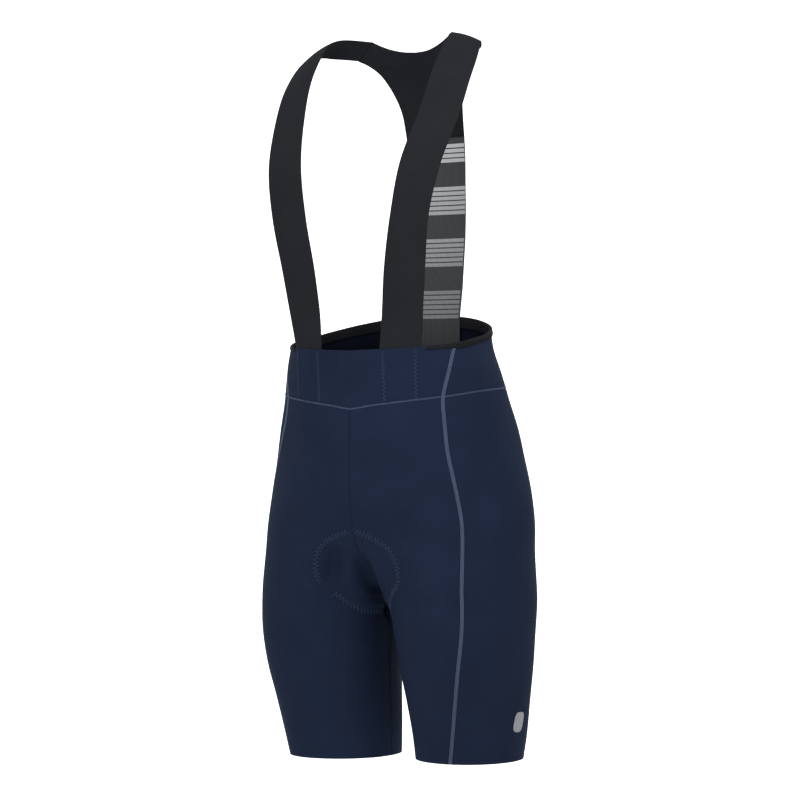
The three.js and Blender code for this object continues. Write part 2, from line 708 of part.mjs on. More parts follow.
function yoke() {
  const half = yokeHalf();
  for (let row = 0; row <= YOKE_SEAM_ROWS; row += 1) {
    const end = half[row][YOKE_COLUMNS];
    end.add(half[row][YOKE_COLUMNS - 1].clone().sub(end).setLength(STRAP_SEAM_REACH));
  }
  half[YOKE_ROWS].forEach((point, column) => {
    point.add(half[YOKE_ROWS - 1][column].clone().sub(point).setLength(SEAM_GAP / 2));
  });
  // From the wearer's left side to the right, seen from behind
  const sheet = half.map((line) => [...line.slice(1).reverse(), ...line.map(mirrored)]);
  return wallBehind('back_yoke', sheet, STRAP_WALL, material(BLACK, 0.85));
}

// Back panel

function backPanel() {
  const sheet = [];
  const lowest = BACK_PANEL[BACK_PANEL.length - 1].z;
  const acrossShares = Array.from({ length: PANEL_COLUMNS + 1 }, (_, k) => 1 - (2 * k) / PANEL_COLUMNS);
  for (let row = 0; row <= PANEL_ROWS; row += 1) {
    const z = mix(BACK_PANEL[0].z - SEAM_GAP, lowest, row / PANEL_ROWS);
    const [halfWidth, edgeY, middleY] = ['halfWidth', 'edgeY', 'middleY'].map(
      (column) => curveAt(BACK_PANEL, 'z', column, z),
    );
    sheet.push(acrossShares.map((across) =>
      new THREE.Vector3(halfWidth * across, mix(middleY, edgeY, across * across), z)));
  }
  const depth = LEG_WALL + SEAM_GAP + TAPE_WALL + SEAM_GAP;
  for (let row = 0; row < PANEL_TAIL_ROWS; row += 1) {
    const down = (WAIST_ROWS * PANEL_TAIL_SHARE * row) / (PANEL_TAIL_ROWS - 1);
    sheet.push(acrossShares.map((across) =>
      onWaistband(down, columnAtX(down, PANEL_TAIL_HALF_WIDTH * across, true), -depth)));
  }
  return wallBehind('back_panel', sheet, PANEL_WALL, material(MESH_GREY, 0.85));
}

// Seat pad

// Triangles of the whole body's surface near the crotch, with the direction outwards at each corner
function seatSurface() {
  const faces = [];
  const corner = (row, column) => ({
    point: bodyNode(row, column),
    normal: bodyNormal(row, column),
  });
  const flip = (at) => ({ point: mirrored(at.point), normal: mirrored(at.normal) });
  const firstRow = CROTCH_ROW - SEAT_ROWS_ABOVE;
  const lastRow = CROTCH_ROW + SEAT_ROWS_BELOW;
  for (let row = firstRow; row < lastRow; row += 1) {
    for (let column = 0; column < LAST_COLUMN; column += 1) {
      const [a, b] = [corner(row, column), corner(row + 1, column)];
      const [c, d] = [corner(row + 1, column + 1), corner(row, column + 1)];
      faces.push([a, b, c], [a, c, d], [a, b, c].map(flip), [a, c, d].map(flip));
    }
  }
  return faces.map((corners) => ({
    corners,
    triangle: new THREE.Triangle(...corners.map((at) => at.point)),
  }));
}

function nearestOn(surface, point) {
  let best = { distance: Infinity };
  const place = new THREE.Vector3();
  surface.forEach(({ corners, triangle }) => {
    triangle.closestPointToPoint(point, place);
    const distance = place.distanceToSquared(point);
    if (distance < best.distance) best = { distance, place: place.clone(), corners, triangle };
  });
  const weights = best.triangle.getBarycoord(best.place, new THREE.Vector3()).toArray();
  const normal = new THREE.Vector3();
  weights.forEach((weight, k) => normal.addScaledVector(best.corners[k].normal, weight));
  return { point: best.place, normal: normal.normalize() };
}

// The centre line of the seat as lengths from the crotch point, forwards below zero
function seatLine() {
  const side = (column) => {
    const trail = [];
    for (let row = CROTCH_ROW; row > CROTCH_ROW - SEAT_ROWS_ABOVE; row -= 1) {
      trail.push(bodyNode(row, column));
    }
    return trail;
  };
  const trail = [...side(0).reverse(), ...side(LAST_COLUMN).slice(1)];
  const middle = SEAT_ROWS_ABOVE - 1;
  const lengths = [0];
  for (let k = 1; k < trail.length; k += 1) {
    lengths.push(lengths[k - 1] + trail[k].distanceTo(trail[k - 1]));
  }
  return trail.map((point, k) => ({ along: lengths[k] - lengths[middle], y: point.y, z: point.z }));
}

function seatPad() {
  const surface = seatSurface();
  const line = seatLine();
  const outer = [];
  const inner = [];
  for (let row = 0; row <= PAD_ROWS; row += 1) {
    const along = mix(PAD[0].along, PAD[PAD.length - 1].along, row / PAD_ROWS);
    const halfWidth = curveAt(PAD, 'along', 'halfWidth', along);
    const [startY, startZ] = ['y', 'z'].map((column) => curveAt(line, 'along', column, along));
    const start = new THREE.Vector3(0, startY, startZ);
    const half = [nearestOn(surface, start)];
    half[0].normal.setX(0).normalize();
    const heading = new THREE.Vector3(1, 0, 0);
    for (let column = 1; column <= PAD_COLUMNS; column += 1) {
      let at = half[column - 1];
      const reach = halfWidth / PAD_COLUMNS;
      const steps = Math.max(1, Math.round(reach / PAD_STEP));
      for (let k = 0; k < steps; k += 1) {
        const next = nearestOn(surface, offset(at.point, heading, reach / steps));
        heading.copy(next.point).sub(at.point).normalize();
        at = next;
      }
      half.push(at);
    }
    const lift = PAD_LIFT * Math.exp(-(((along - PAD_LIFT_AT) / PAD_LIFT_REACH) ** 2));
    const depth = LEG_WALL + SEAM_GAP + lift;
    const endShare = Math.sqrt(1 - ((2 * row) / PAD_ROWS - 1) ** 2);
    const full = [
      ...half.slice(1).reverse().map((at) => ({ point: mirrored(at.point), normal: mirrored(at.normal) })),
      ...half,
    ];
    const thick = full.map((_, k) => {
      const across = Math.abs(k - PAD_COLUMNS) / PAD_COLUMNS;
      return mix(PAD_EDGE, PAD_MIDDLE, (1 - across ** 3) * endShare);
    });
    outer.push(full.map((at) => offset(at.point, at.normal, -depth)));
    inner.push(full.map((at, k) => offset(at.point, at.normal, -depth - thick[k])));
  }
  return wall('seat_pad', outer, inner, material(PAD_GREY, 0.9));
}

const bibShorts = new THREE.Group();
bibShorts.add(...shorts(), waistTape(), ...straps(), yoke(), backPanel(), seatPad());

export default bibShorts;
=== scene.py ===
import math
import bpy
import numpy as np
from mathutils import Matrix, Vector
from mathutils.bvhtree import BVHTree
from mathutils.kdtree import KDTree


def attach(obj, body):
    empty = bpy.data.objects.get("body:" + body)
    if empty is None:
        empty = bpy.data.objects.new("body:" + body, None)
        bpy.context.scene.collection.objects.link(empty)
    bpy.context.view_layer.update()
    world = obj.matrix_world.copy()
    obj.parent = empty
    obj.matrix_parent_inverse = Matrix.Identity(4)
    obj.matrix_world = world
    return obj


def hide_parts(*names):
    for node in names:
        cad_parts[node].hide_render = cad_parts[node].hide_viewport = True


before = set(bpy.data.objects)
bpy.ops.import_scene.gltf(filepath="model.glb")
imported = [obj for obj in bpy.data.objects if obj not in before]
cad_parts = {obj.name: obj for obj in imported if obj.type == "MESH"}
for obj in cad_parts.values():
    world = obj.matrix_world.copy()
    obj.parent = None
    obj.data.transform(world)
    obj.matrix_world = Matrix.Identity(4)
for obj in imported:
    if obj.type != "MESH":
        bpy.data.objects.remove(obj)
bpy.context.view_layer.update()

# Cycling bib shorts, filled out as when worn. Shapes are worked out in millimetres and built in metres.
# The wearer faces -Y and their left side is +X.
MM = 0.001

# Thickness of each cloth
LEG_CLOTH = 1.1
STRAP_CLOTH = 1.4
PANEL_CLOTH = 1.0
TAPE_CLOTH = 1.0
LEG_WALL = 1.6
SEAM_GAP = 0.3

# Heights of the shorts, and the saddle between the legs
HEM = -841.0
LEFT_HEM_RISE = 4.4
LEFT_RISE_START = -750.0
CROTCH = -648.0
LEG_BLEND_TOP = -530.0
SADDLE_RADIUS = 10.0
LEG_GAP = 15.0


def table(columns, *rows):
    """Columns by name."""
    return {name: np.array(values, float) for name, values in zip(columns.split(), zip(*rows))}


TRUNK = table(
    "z half_width front back squareness",
    (-315, 116, -88, 97, 2.35),
    (-360, 121.5, -90, 98, 2.35),
    (-390, 131, -88, 105, 2.3),
    (-420, 138, -86, 114, 2.25),
    (-455, 147, -87, 126, 2.2),
    (-488, 154, -88, 133, 2.15),
    (-530, 164, -87, 134, 2.1),
    (-570, 171, -84, 128, 2.05),
    (-610, 172, -80, 120, 2.0),
    (-648, 172, -76, 112, 2.0),
)
LEG = table(
    "z x y half_width half_depth skew",
    (-530, 86, 20, 86, 100, 0),
    (-590, 86, 18, 86, 96, 0),
    (-648, 86, 17, 86, 90, -0.02),
    (-690, 87, 18, 83, 87, -0.07),
    (-732, 87.5, 22, 78, 83, -0.08),
    (-770, 86.5, 28, 72.5, 77.5, -0.08),
    (-815, 85, 35, 67, 72, -0.08),
    (-842, 83.5, 38, 63.5, 70, -0.08),
)
# A turn is a share of the way round one half of the body: 0 is the centre front, 1 the centre back
RIM = table(
    "turn z",
    (0, -364), (0.09, -362.5), (0.23, -360), (0.37, -356), (0.5, -348),
    (0.62, -339.5), (0.74, -331), (0.86, -324), (1, -320),
)
WAIST_SEAM = table(
    "turn z",
    (0, -430.5), (0.05, -426.5), (0.1, -423.8), (0.2, -419), (0.3, -415),
    (0.4, -410.5), (0.5, -407.5), (0.75, -404), (1, -403),
)
# Angle round the left leg, from the inseam by way of the front
SIDE_SEAM = table(
    "z angle",
    (-340, 2.81), (-355, 2.714), (-386, 2.493), (-416, 2.323), (-445, 2.26), (-474, 2.22),
    (-500, 2.208), (-547, 2.18), (-580, 2.16), (-612, 2.157), (-645, 2.152), (-688, 2.136),
    (-730, 2.058), (-774, 1.965), (-818, 1.87), (-842, 1.828),
)
# How much farther round to the back the seam runs on the right leg, which sits turned outwards
RIGHT_SEAM_TURN = table(
    "z angle",
    (-430, 0), (-450, 0.03), (-474, 0.13), (-500, 0.24), (-547, 0.38), (-600, 0.45),
    (-690, 0.47), (-730, 0.54), (-774, 0.63), (-842, 0.77),
)
# The strap's inner edge towards the neck, its outer edge, and how far its middle is crowned
STRAP = table(
    "inner_x inner_y inner_z outer_x outer_y outer_z crown",
    (42, -84, -330, 89, -73.5, -330, 0),
    (48, -89, -270, 97, -81, -270, 0),
    (58, -92, -210, 106, -88, -210, 0),
    (68, -87, -150, 117, -80, -152, 0),
    (79, -63, -90, 126, -53, -94, 0.5),
    (83, -42, -45, 127, -33, -56, 1),
    (83, -16, -10, 124, -11, -28, 1.5),
    (82, -3, 1.5, 120, 2, -16, 2),
    (78, 9, 6.2, 114.5, 15, -8.5, 2),
    (75, 18, 7.7, 109.5, 25, -9.5, 2),
    (70, 26, 7.9, 103, 33, -11, 1.5),
    (61.5, 36, 7.2, 90.3, 42, -12, 0.7),
    (52.5, 44, 6.1, 76.5, 50, -13.4, 0),
)
TAIL_INNER_X = 40.0
TAIL_OUTER_X = 86.0
TAIL_SHARE = 0.93
NECKLINE = table(
    "x y z",
    (0, 58, -7.9), (16, 56, -6.8), (32, 51, -3.1), (46, 46.5, 2.6), (52.5, 44, 6.1),
)
ARMHOLE = table(
    "x y z",
    (76.5, 50, -13.4), (68.5, 60, -18.5), (57.5, 71.2, -30), (47.6, 85.8, -53),
    (42.4, 95.3, -75), (40.2, 102.6, -105),
)
YOKE_TOP_PULL = np.array([0, 22.0, -20.0])
YOKE_BOTTOM_PULL = np.array([0, 9.0, -42.0])
YOKE_STRAP_SHARE = 0.2
BACK_PANEL = table(
    "z half_width edge_y middle_y",
    (-105, 40.2, 102.6, 106.8),
    (-130, 39.8, 105.6, 109.9),
    (-164, 39.6, 106.6, 111),
    (-198, 40, 106.5, 110.8),
    (-227, 40.5, 104.5, 108.5),
    (-260, 40.8, 100.5, 104.5),
    (-287, 41.7, 96.2, 100.2),
)
PANEL_TAIL_HALF_WIDTH = 42.0
PANEL_TAIL_SHARE = 0.9
TAPE_INNER_DROP = 12.0
TAPE_BACK_DROP = 7.5
TAPE_FRONT_DROP = 3.5
TAPE_START_X = 89.0
TAPE_SPACE = 0.25
PAD = table(
    "along half_width",
    (-136, 6), (-132, 17), (-122, 40), (-105, 55), (-85, 58), (-60, 41), (-35, 30), (-10, 26),
    (20, 31), (50, 48), (85, 67), (115, 76), (140, 70), (158, 45), (165, 10),
)
PAD_LIFT = 3.3
PAD_LIFT_AT = -55.0
PAD_LIFT_REACH = 120.0
PAD_EDGE = 2.0
PAD_MIDDLE = 8.0


# Curves


def curve_at(rows, key, column, at):
    """Value of a column on a smooth curve through a table's rows, held at its ends."""
    order = np.argsort(rows[key])
    x, y = rows[key][order], rows[column][order]
    slope = np.gradient(y, x)
    at = np.clip(at, x[0], x[-1])
    k = np.clip(np.searchsorted(x, at) - 1, 0, len(x) - 2)
    span = x[k + 1] - x[k]
    u = (at - x[k]) / span
    start, end = slope[k] * span, slope[k + 1] * span
    rise = y[k + 1] - y[k]
    return y[k] + u * start + u**2 * (3 * rise - 2 * start - end) + u**3 * (start + end - 2 * rise)


def smooth(low, high, value):
    u = np.clip((value - low) / (high - low), 0, 1)
    return u * u * (3 - 2 * u)


def ramp(middle, reach, value):
    """Rises from 0 to 1 about a middle, or falls where the reach is negative."""
    return smooth(middle - reach, middle + reach, value)


def mix(a, b, u):
    return a + (b - a) * u


def bell(distance, width):
    return np.exp(-((distance / width) ** 2))


def unit(v):
    return v / np.maximum(np.linalg.norm(v, axis=-1, keepdims=True), 1e-12)


def points_of(rows, names):
    return np.stack([rows[name] for name in names], -1)


def columns_at(rows, names, z):
    """Values of several columns of a table that has heights."""
    return [curve_at(rows, "z", name, z) for name in names.split()]


def running_length(points):
    """Length along a line of points, from its first one."""
    return np.concatenate([[0], np.cumsum(np.linalg.norm(np.diff(points, axis=0), axis=1))])


def point_at(at, along, points):
    """The place on a line of points at a running length, or the places at several."""
    return np.stack([np.interp(at, along, points[:, i]) for i in range(3)], -1)


def spline(points, shares):
    """Points on a centripetal curve through the given points, at shares of their number."""
    full = np.concatenate([[2 * points[0] - points[1]], points, [2 * points[-1] - points[-2]]])
    place = np.clip(np.asarray(shares, float), 0, 1) * (len(points) - 1)
    k = np.minimum(place.astype(int), len(points) - 2)
    u = (place - k)[:, None]
    p = [full[k + i] for i in range(4)]
    gap = [np.linalg.norm(p[i + 1] - p[i], axis=1)[:, None] ** 0.5 for i in range(3)]
    a, b, c = gap
    start = b * ((p[1] - p[0]) / a - (p[2] - p[0]) / (a + b) + (p[2] - p[1]) / b)
    end = b * ((p[2] - p[1]) / b - (p[3] - p[1]) / (b + c) + (p[3] - p[2]) / c)
    rise = p[2] - p[1]
    return p[1] + u * start + u**2 * (3 * rise - 2 * start - end) + u**3 * (start + end - 2 * rise)


# The body's outer surface


def rim_height(turn):
    return curve_at(RIM, "turn", "z", turn)


def seam_height(turn):
    return curve_at(WAIST_SEAM, "turn", "z", turn)


def trunk_point(turn, z):
    half, front, back, power = columns_at(TRUNK, "half_width front back squareness", z)
    angle = np.pi * turn
    across = np.abs(np.sin(angle)) ** (2 / power)
    along = np.sign(np.cos(angle)) * np.abs(np.cos(angle)) ** (2 / power)
    return np.stack([half * across, (front + back) / 2 - (back - front) / 2 * along, z], -1)


def saddle_term(z):
    below = CROTCH - z
    opening = 2 * SADDLE_RADIUS * below
    return np.where(below <= 0, opening, opening / (1 + np.maximum(opening, 0) / LEG_GAP**2))


def leg_start(z):
    middle, half = columns_at(LEG, "x half_width", z)
    cosine = (middle - np.sqrt(np.maximum(-saddle_term(z), 0))) / half
    return np.where(z <= CROTCH, 0, np.arccos(np.clip(cosine, -1, 1)))


def leg_angle(turn, z):
    return mix(leg_start(z), 2 * np.pi - leg_start(z), turn)


def turn_of_angle(angle, z):
    return (angle - leg_start(z)) / (2 * np.pi - 2 * leg_start(z))


def side_turn(z):
    return turn_of_angle(curve_at(SIDE_SEAM, "z", "angle", z), z)


def leg_point(turn, z):
    x, y, half, depth, skew = columns_at(LEG, "x y half_width half_depth skew", z)
    angle = leg_angle(turn, z)
    px = np.sqrt(np.maximum((x - half * np.cos(angle)) ** 2 + saddle_term(z), 0))
    return np.stack([px, y - depth * np.sin(angle) + skew * (px - x), z], -1)


def body_point(turn, z):
    turn, z = np.broadcast_arrays(np.asarray(turn, float), np.asarray(z, float))
    share = (1 - smooth(CROTCH, LEG_BLEND_TOP, z))[..., None]
    return mix(trunk_point(turn, z), leg_point(turn, z), share)


# Grid of the left half of the body: rows from the rim to the hem, columns from the centre front
# round the side to the centre back, closer together at the seams

FRONT_CELLS = 60
BACK_CELLS = 112
WAIST_CELLS = 40
LEG_CELLS = 192
CROTCH_SHARE = 14 / 24
BEND_SHARE = 6 / 24
CENTRE_STEPS = 800
# Heights near which the side seam meets the rim and the waist seam
RIM_SIDE_Z = -355.0
SEAM_SIDE_Z = -416.0
# How much the grid's columns and rows crowd at the seams
FRONT_CROWD = 0.55
BACK_CROWD = 0.6
WAIST_CROWD = 0.5
LEG_CROWD = 0.6
LEG_CROWD_FADE = 24.0


def crowded(cells, crowd):
    """Shares from 0 to 1 that lie closer together at both ends."""
    u = np.linspace(0, 1, cells + 1)
    return u - crowd * np.sin(2 * np.pi * u) / (2 * np.pi)


def centre_height(turn, share):
    """Height at a share of a centre seam's length from the waist seam to the crotch."""
    u = np.linspace(1, 0, CENTRE_STEPS + 1)
    z = CROTCH + (seam_height(turn) - CROTCH) * u**2
    trail = body_point(turn, z)
    length = running_length(trail)
    return np.interp(share * length[-1], length, z)


def waist_place(share, front, t):
    """Turn and height in the waistband; t runs from a centre seam to the side seam."""
    side_start = side_turn(rim_height(side_turn(RIM_SIDE_Z)))
    side_end = side_turn(seam_height(side_turn(SEAM_SIDE_Z)))
    side = side_turn(mix(rim_height(side_start), seam_height(side_end), share))
    turn = side * t if front else mix(1.0, side, t)
    return turn, mix(rim_height(turn), seam_height(turn), share)


def leg_place(share, front, t, right=False):
    """Turn and height in a leg panel, from the waist seam at share 0 to the hem at 1."""
    def angles(at):
        return leg_angle(*at), at[1]
    top_inner, top_side, top = (angles(waist_place(1.0, front, u)) for u in (0.0, 1.0, t))
    below = (share - CROTCH_SHARE) / (1 - CROTCH_SHARE)
    above = np.clip(share / CROTCH_SHARE, 0, 1)
    inner_z = np.where(below <= 0, centre_height(0.0 if front else 1.0, above), mix(CROTCH, HEM, below))
    inner = angles((0.0 if front else 1.0, inner_z))
    side_z = mix(top_side[1], HEM, share)
    side_angle = angles((side_turn(side_z), side_z))[0]
    if right:
        side_angle = side_angle + curve_at(RIGHT_SEAM_TURN, "z", "angle", side_z)
    side = (side_angle, side_z)
    fade = np.maximum(0, 1 - share / BEND_SHARE) ** 2
    angle, z = (
        mix(inner[i], side[i], t) + fade * (top[i] - mix(top_inner[i], top_side[i], t)) for i in (0, 1)
    )
    return turn_of_angle(angle, z), z


def half_body(right):
    """Turns and places of one half's grid, kept on the left side also for the right half."""
    front_t, back_t = crowded(FRONT_CELLS, FRONT_CROWD), 1 - crowded(BACK_CELLS, BACK_CROWD)[1:]
    waist, leg = crowded(WAIST_CELLS, WAIST_CROWD)[:-1, None], np.linspace(0, 1, LEG_CELLS + 1)[:, None]
    leg = leg - LEG_CROWD * np.exp(-leg * LEG_CROWD_FADE) * leg
    rows = []
    for shares, place, more in ((waist, waist_place, ()), (leg, leg_place, (right,))):
        parts = [place(shares, True, front_t[None, :], *more), place(shares, False, back_t[None, :], *more)]
        rows.append([np.concatenate([p[i] + 0 * shares for p in parts], 1) for i in (0, 1)])
    turn, z = (np.concatenate([r[i] for r in rows], 0) for i in (0, 1))
    if not right:
        z = z + LEFT_HEM_RISE * smooth(LEFT_RISE_START, HEM, z)
    return turn, body_point(turn, z)


SIDE = FRONT_CELLS
LAST = FRONT_CELLS + BACK_CELLS
FRONT = slice(0, SIDE + 1)
BACK = slice(SIDE, LAST + 1)
SEAM_ROW = WAIST_CELLS
MIRROR = np.array([-1.0, 1.0, 1.0])


def then_mirrored(line):
    """A line from one side to the middle and on along the other side."""
    return np.concatenate([line, (line[:-1] * MIRROR)[::-1]])


CROTCH_ROW = SEAM_ROW + int(np.argmin(np.abs(half_body(False)[1][SEAM_ROW:, 0, 2] - CROTCH)))


def with_neighbours(grid):
    """One more column at each side: the other half's above the crotch, round the leg below it."""
    left, right = grid[:, 1] * MIRROR, grid[:, -2] * MIRROR
    left[CROTCH_ROW:] = grid[CROTCH_ROW:, -2]
    right[CROTCH_ROW:] = grid[CROTCH_ROW:, 1]
    return np.concatenate([left[:, None], grid, right[:, None]], 1)


def grid_normals(grid):
    wide = with_neighbours(grid)
    across = unit(wide[:, 2:] - wide[:, :-2])
    down = unit(np.gradient(grid, axis=0))
    normal = unit(np.cross(down, across))
    for column in (0, LAST):
        normal[:CROTCH_ROW, column, 0] = 0
        normal[CROTCH_ROW, column] = (0, 0, -1)
    return unit(normal)


def lengths(grid, axis):
    """Length along the grid's lines from their first node."""
    step = np.linalg.norm(np.diff(grid, axis=axis), axis=2)
    pad = [(1, 0), (0, 0)] if axis == 0 else [(0, 0), (1, 0)]
    return np.pad(np.cumsum(step, axis), pad)


class Half:
    """One half of the body: its grid, and lengths from its seams."""

    def __init__(self, right):
        self.flip = MIRROR if right else np.ones(3)
        self.right = right
        self.turn, self.body = half_body(right)
        self.normal = grid_normals(self.body)
        self.across = lengths(self.body, 1)
        self.down = lengths(self.body, 0)
        self.from_side = self.across - self.across[:, SIDE:SIDE + 1]
        self.from_back = self.across[:, -1:] - self.across
        self.from_seam = self.down - self.down[SEAM_ROW]

    def dress(self, relief):
        """Moves the cloth's outer side out by the relief, closed along the seams."""
        self.relief = relief
        outer = self.body + self.normal * relief[..., None]
        for column in (0, LAST):
            outer[:CROTCH_ROW + 1, column, 0] = 0
            outer[CROTCH_ROW:, column] = (outer[CROTCH_ROW:, 0] + outer[CROTCH_ROW:, LAST]) / 2
        self.outer = outer
        self.out = grid_normals(outer)
        self.uv = np.stack([self.from_side, -self.down], -1)


def tree_of(points, faces):
    return BVHTree.FromPolygons([Vector(p) for p in points.reshape(-1, 3)], faces.tolist())


def quads(rows, columns, start=0):
    index = start + np.arange(rows * columns).reshape(rows, columns)
    return np.stack([index[:-1, :-1], index[1:, :-1], index[1:, 1:], index[:-1, 1:]], -1).reshape(-1, 4)


def whole_tree(left, right):
    """Both halves' cloth; the right half is given on the left side, as it is kept."""
    rows, columns = left.shape[:2]
    points = np.concatenate([left.reshape(-1, 3), (right * MIRROR).reshape(-1, 3)])
    faces = np.concatenate([quads(rows, columns), quads(rows, columns, rows * columns)[:, ::-1]])
    return tree_of(points, faces)


LEFT, RIGHT = Half(False), Half(True)
PLAIN_TREE = whole_tree(LEFT.body, LEFT.body)


def nearest(tree, point):
    """Nearest place on a cloth and its direction outwards."""
    place, normal, _, _ = tree.find_nearest(Vector(point))
    return np.array(place), np.array(normal)


# Seat pad on the plain body: marched sideways from the centre seams

PAD_LINES = 72
PAD_STEPS = 30


def seat_line():
    """The centre seams from the front over the crotch to the back, and lengths from the crotch."""
    up = slice(CROTCH_ROW, SEAM_ROW, -1)
    trail = np.concatenate([LEFT.body[up, 0][::-1], LEFT.body[up, LAST][1:]])
    along = running_length(trail)
    return along - along[CROTCH_ROW - SEAM_ROW - 1], trail


def pad_grid():
    """Places and outward directions under the pad's left half, by line along and step across."""
    along, trail = seat_line()
    places, normals = [], []
    for wanted in mix(PAD["along"][0], PAD["along"][-1], np.linspace(0, 1, PAD_LINES + 1)):
        half = curve_at(PAD, "along", "half_width", wanted)
        place, normal = nearest(PLAIN_TREE, point_at(wanted, along, trail))
        place[0], normal[0] = 0, 0
        normal = unit(normal)
        line = [(place, normal)]
        heading = np.array([1.0, 0, 0])
        for _ in range(PAD_STEPS):
            new, normal = nearest(PLAIN_TREE, place + heading * half / PAD_STEPS)
            heading = unit(new - place)
            place = new
            line.append((place, normal))
        places.append([p for p, _ in line])
        normals.append([n for _, n in line])
    return np.array(places), np.array(normals)


PAD_PLACES, PAD_NORMALS = pad_grid()
PAD_ALONG = mix(PAD["along"][0], PAD["along"][-1], np.linspace(0, 1, PAD_LINES + 1))


def pad_outline():
    """The stitched outline of the pad's left half, from the front's middle to the back's."""
    return np.concatenate([PAD_PLACES[0, :-1], PAD_PLACES[:, -1], PAD_PLACES[-1, :-1][::-1]])


def distance_to(points, targets):
    """Distance of each point to the nearest target, and that target's number."""
    tree = KDTree(len(targets))
    for k, target in enumerate(targets):
        tree.insert(Vector(target), k)
    tree.balance()
    found = [tree.find(Vector(p)) for p in points]
    return np.array([f[2] for f in found]), np.array([f[1] for f in found])


# Relief of the cloth in millimetres, outwards

# Soft creases: turn and height at both ends, half width and depth outwards
CREASES = table(
    "turn_a z_a turn_b z_b width depth",
    (0.005, -644, 0.08, -636, 3.2, -0.9),
    (0.005, -653, 0.1, -648, 3.0, -0.8),
    (0.01, -664, 0.09, -661, 3.4, -0.7),
    (0.03, -640, 0.2, -612, 9, -1.1),
    (0.03, -668, 0.2, -652, 9, -0.9),
    (0.05, -628, 0.16, -585, 8, 0.8),
    (0.97, -655, 0.66, -668, 13, -2.6),
    (0.94, -672, 0.72, -690, 14, -1.2),
    (0.95, -632, 0.75, -610, 18, 1.0),
    (0.02, -700, 0.1, -760, 14, -0.8),
    (0.97, -700, 0.88, -780, 16, -0.9),
    (0.45, -640, 0.5, -760, 26, -1.0),
    (0.16, -660, 0.2, -790, 26, 0.9),
    (0.6, -500, 0.8, -540, 30, 0.8),
    (0.36, -430, 0.48, -470, 16, -0.6),
    (0.88, -415, 0.7, -440, 14, -0.7),
    (0.02, -520, 0.12, -470, 20, -0.5),
)
CREASE_STEPS = 40
CREASE_END = 0.04
CREASE_FADE = 0.7
# The left thigh is a little fuller behind its side seam
LEFT_SWELLS = table(
    "turn_a z_a turn_b z_b width depth",
    (0.59, -580, 0.59, -842, 50, 3.4),
)
# Creases of the right leg alone, which turns away under the pad's left lobe
RIGHT_CREASES = table(
    "turn_a z_a turn_b z_b width depth",
    (0.035, -584, 0.09, -646, 15, -16.0),
    (0.97, -640, 0.9, -662, 12, -2.0),
)


def crease_relief(rows, points):
    """Creases along lines on the plain body, fading towards their ends."""
    out = np.zeros(points.shape[:2])
    for a, za, b, zb, width, depth in zip(*rows.values()):
        u = np.linspace(0, 1, CREASE_STEPS + 1)
        path = body_point(mix(a, b, u), mix(za, zb, u))
        best = np.full(out.shape, 1e9)
        strength = np.zeros(out.shape)
        for k, at in enumerate(path):
            distance = np.linalg.norm(points - at, axis=-1)
            nearer = distance < best
            best = np.where(nearer, distance, best)
            share = min(max(u[k], CREASE_END), 1 - CREASE_END)
            strength = np.where(nearer, np.sin(np.pi * share) ** CREASE_FADE, strength)
        out += depth * strength * bell(best, width)
    return out


# Long forms: height outwards, distance from the middle and half width, then the places along
# where the form starts, is full, fades and ends
FRONT_LOBE = (2.6, 25, 15, -128, -95, -30, 8)
BACK_LOBE = (1.0, 34, 22, 30, 70, 118, 150)
PAD_CHANNEL = (-5.0, 0, 8, -112, -86, -6, 30)
FRONT_FOLD = (-8.0, 0, 12, -585, -622, -655, -690)
SEAT_CLEFT = (-5.5, 0, 17, -470, -540, -620, -655)


def long_form(form, across, along):
    height, middle, width, start, full, fade, end = form
    return height * bell(across - middle, width) * smooth(start, full, along) * smooth(end, fade, along)


def seam_relief(distance, along, depth, phase):
    """A seam's dent, with small puckers along both sides."""
    pucker = 0.1 * np.sin(along / 1.15 + phase) + 0.08 * np.sin(along / 2.3 + 2 * phase)
    return -depth * bell(distance, 2.6) + pucker * bell(np.abs(distance) - 4.0, 2.2)


def pad_relief(body):
    """Groove along the pad's stitches, its raised lobes and the channel between them."""
    low, high = PAD_PLACES.reshape(-1, 3).min(0) - 12, PAD_PLACES.reshape(-1, 3).max(0) + 12
    near = np.all((body > low) & (body < high), -1)
    rows, columns = np.nonzero(near)
    points = body[rows, columns]
    to_edge, _ = distance_to(points, pad_outline())
    to_pad, which = distance_to(points, PAD_PLACES.reshape(-1, 3))
    line, step = which // (PAD_STEPS + 1), which % (PAD_STEPS + 1)
    inside = (to_pad < 5) & (step < PAD_STEPS) & (line > 0) & (line < PAD_LINES)
    along, across = PAD_ALONG[line], step * curve_at(PAD, "along", "half_width", PAD_ALONG[line]) / PAD_STEPS
    rise = smooth(0, 11, to_edge) * inside
    forms = sum(long_form(form, across, along) for form in (FRONT_LOBE, BACK_LOBE, PAD_CHANNEL))
    wave = 0.14 * np.sin(np.arctan2(points[:, 0], points[:, 1]) * 38) * bell(to_edge - 4.5, 3)
    out = np.zeros(body.shape[:2])
    out[rows, columns] = rise * (0.9 + forms) - 0.55 * bell(to_edge, 1.8) + wave
    return out


def tail_relief(half):
    """The strap tails and the back panel's tail show through the waistband as a slight step."""
    x, y = half.body[..., 0], half.body[..., 1]
    inside = (np.arange(len(half.down)) <= SEAM_ROW)[:, None]
    share = (half.down / half.down[SEAM_ROW]) * inside
    front = ramp(TAIL_INNER_X, 1.2, x) * ramp(TAIL_OUTER_X, -1.2, x)
    front = front * (y < 0) * ramp(TAIL_SHARE, -0.02, share)
    back = ramp(PANEL_TAIL_HALF_WIDTH, -1.5, x) * (y > 0)
    back = back * ramp(PANEL_TAIL_SHARE, -0.02, share)
    return (0.55 * front + 0.4 * back) * inside


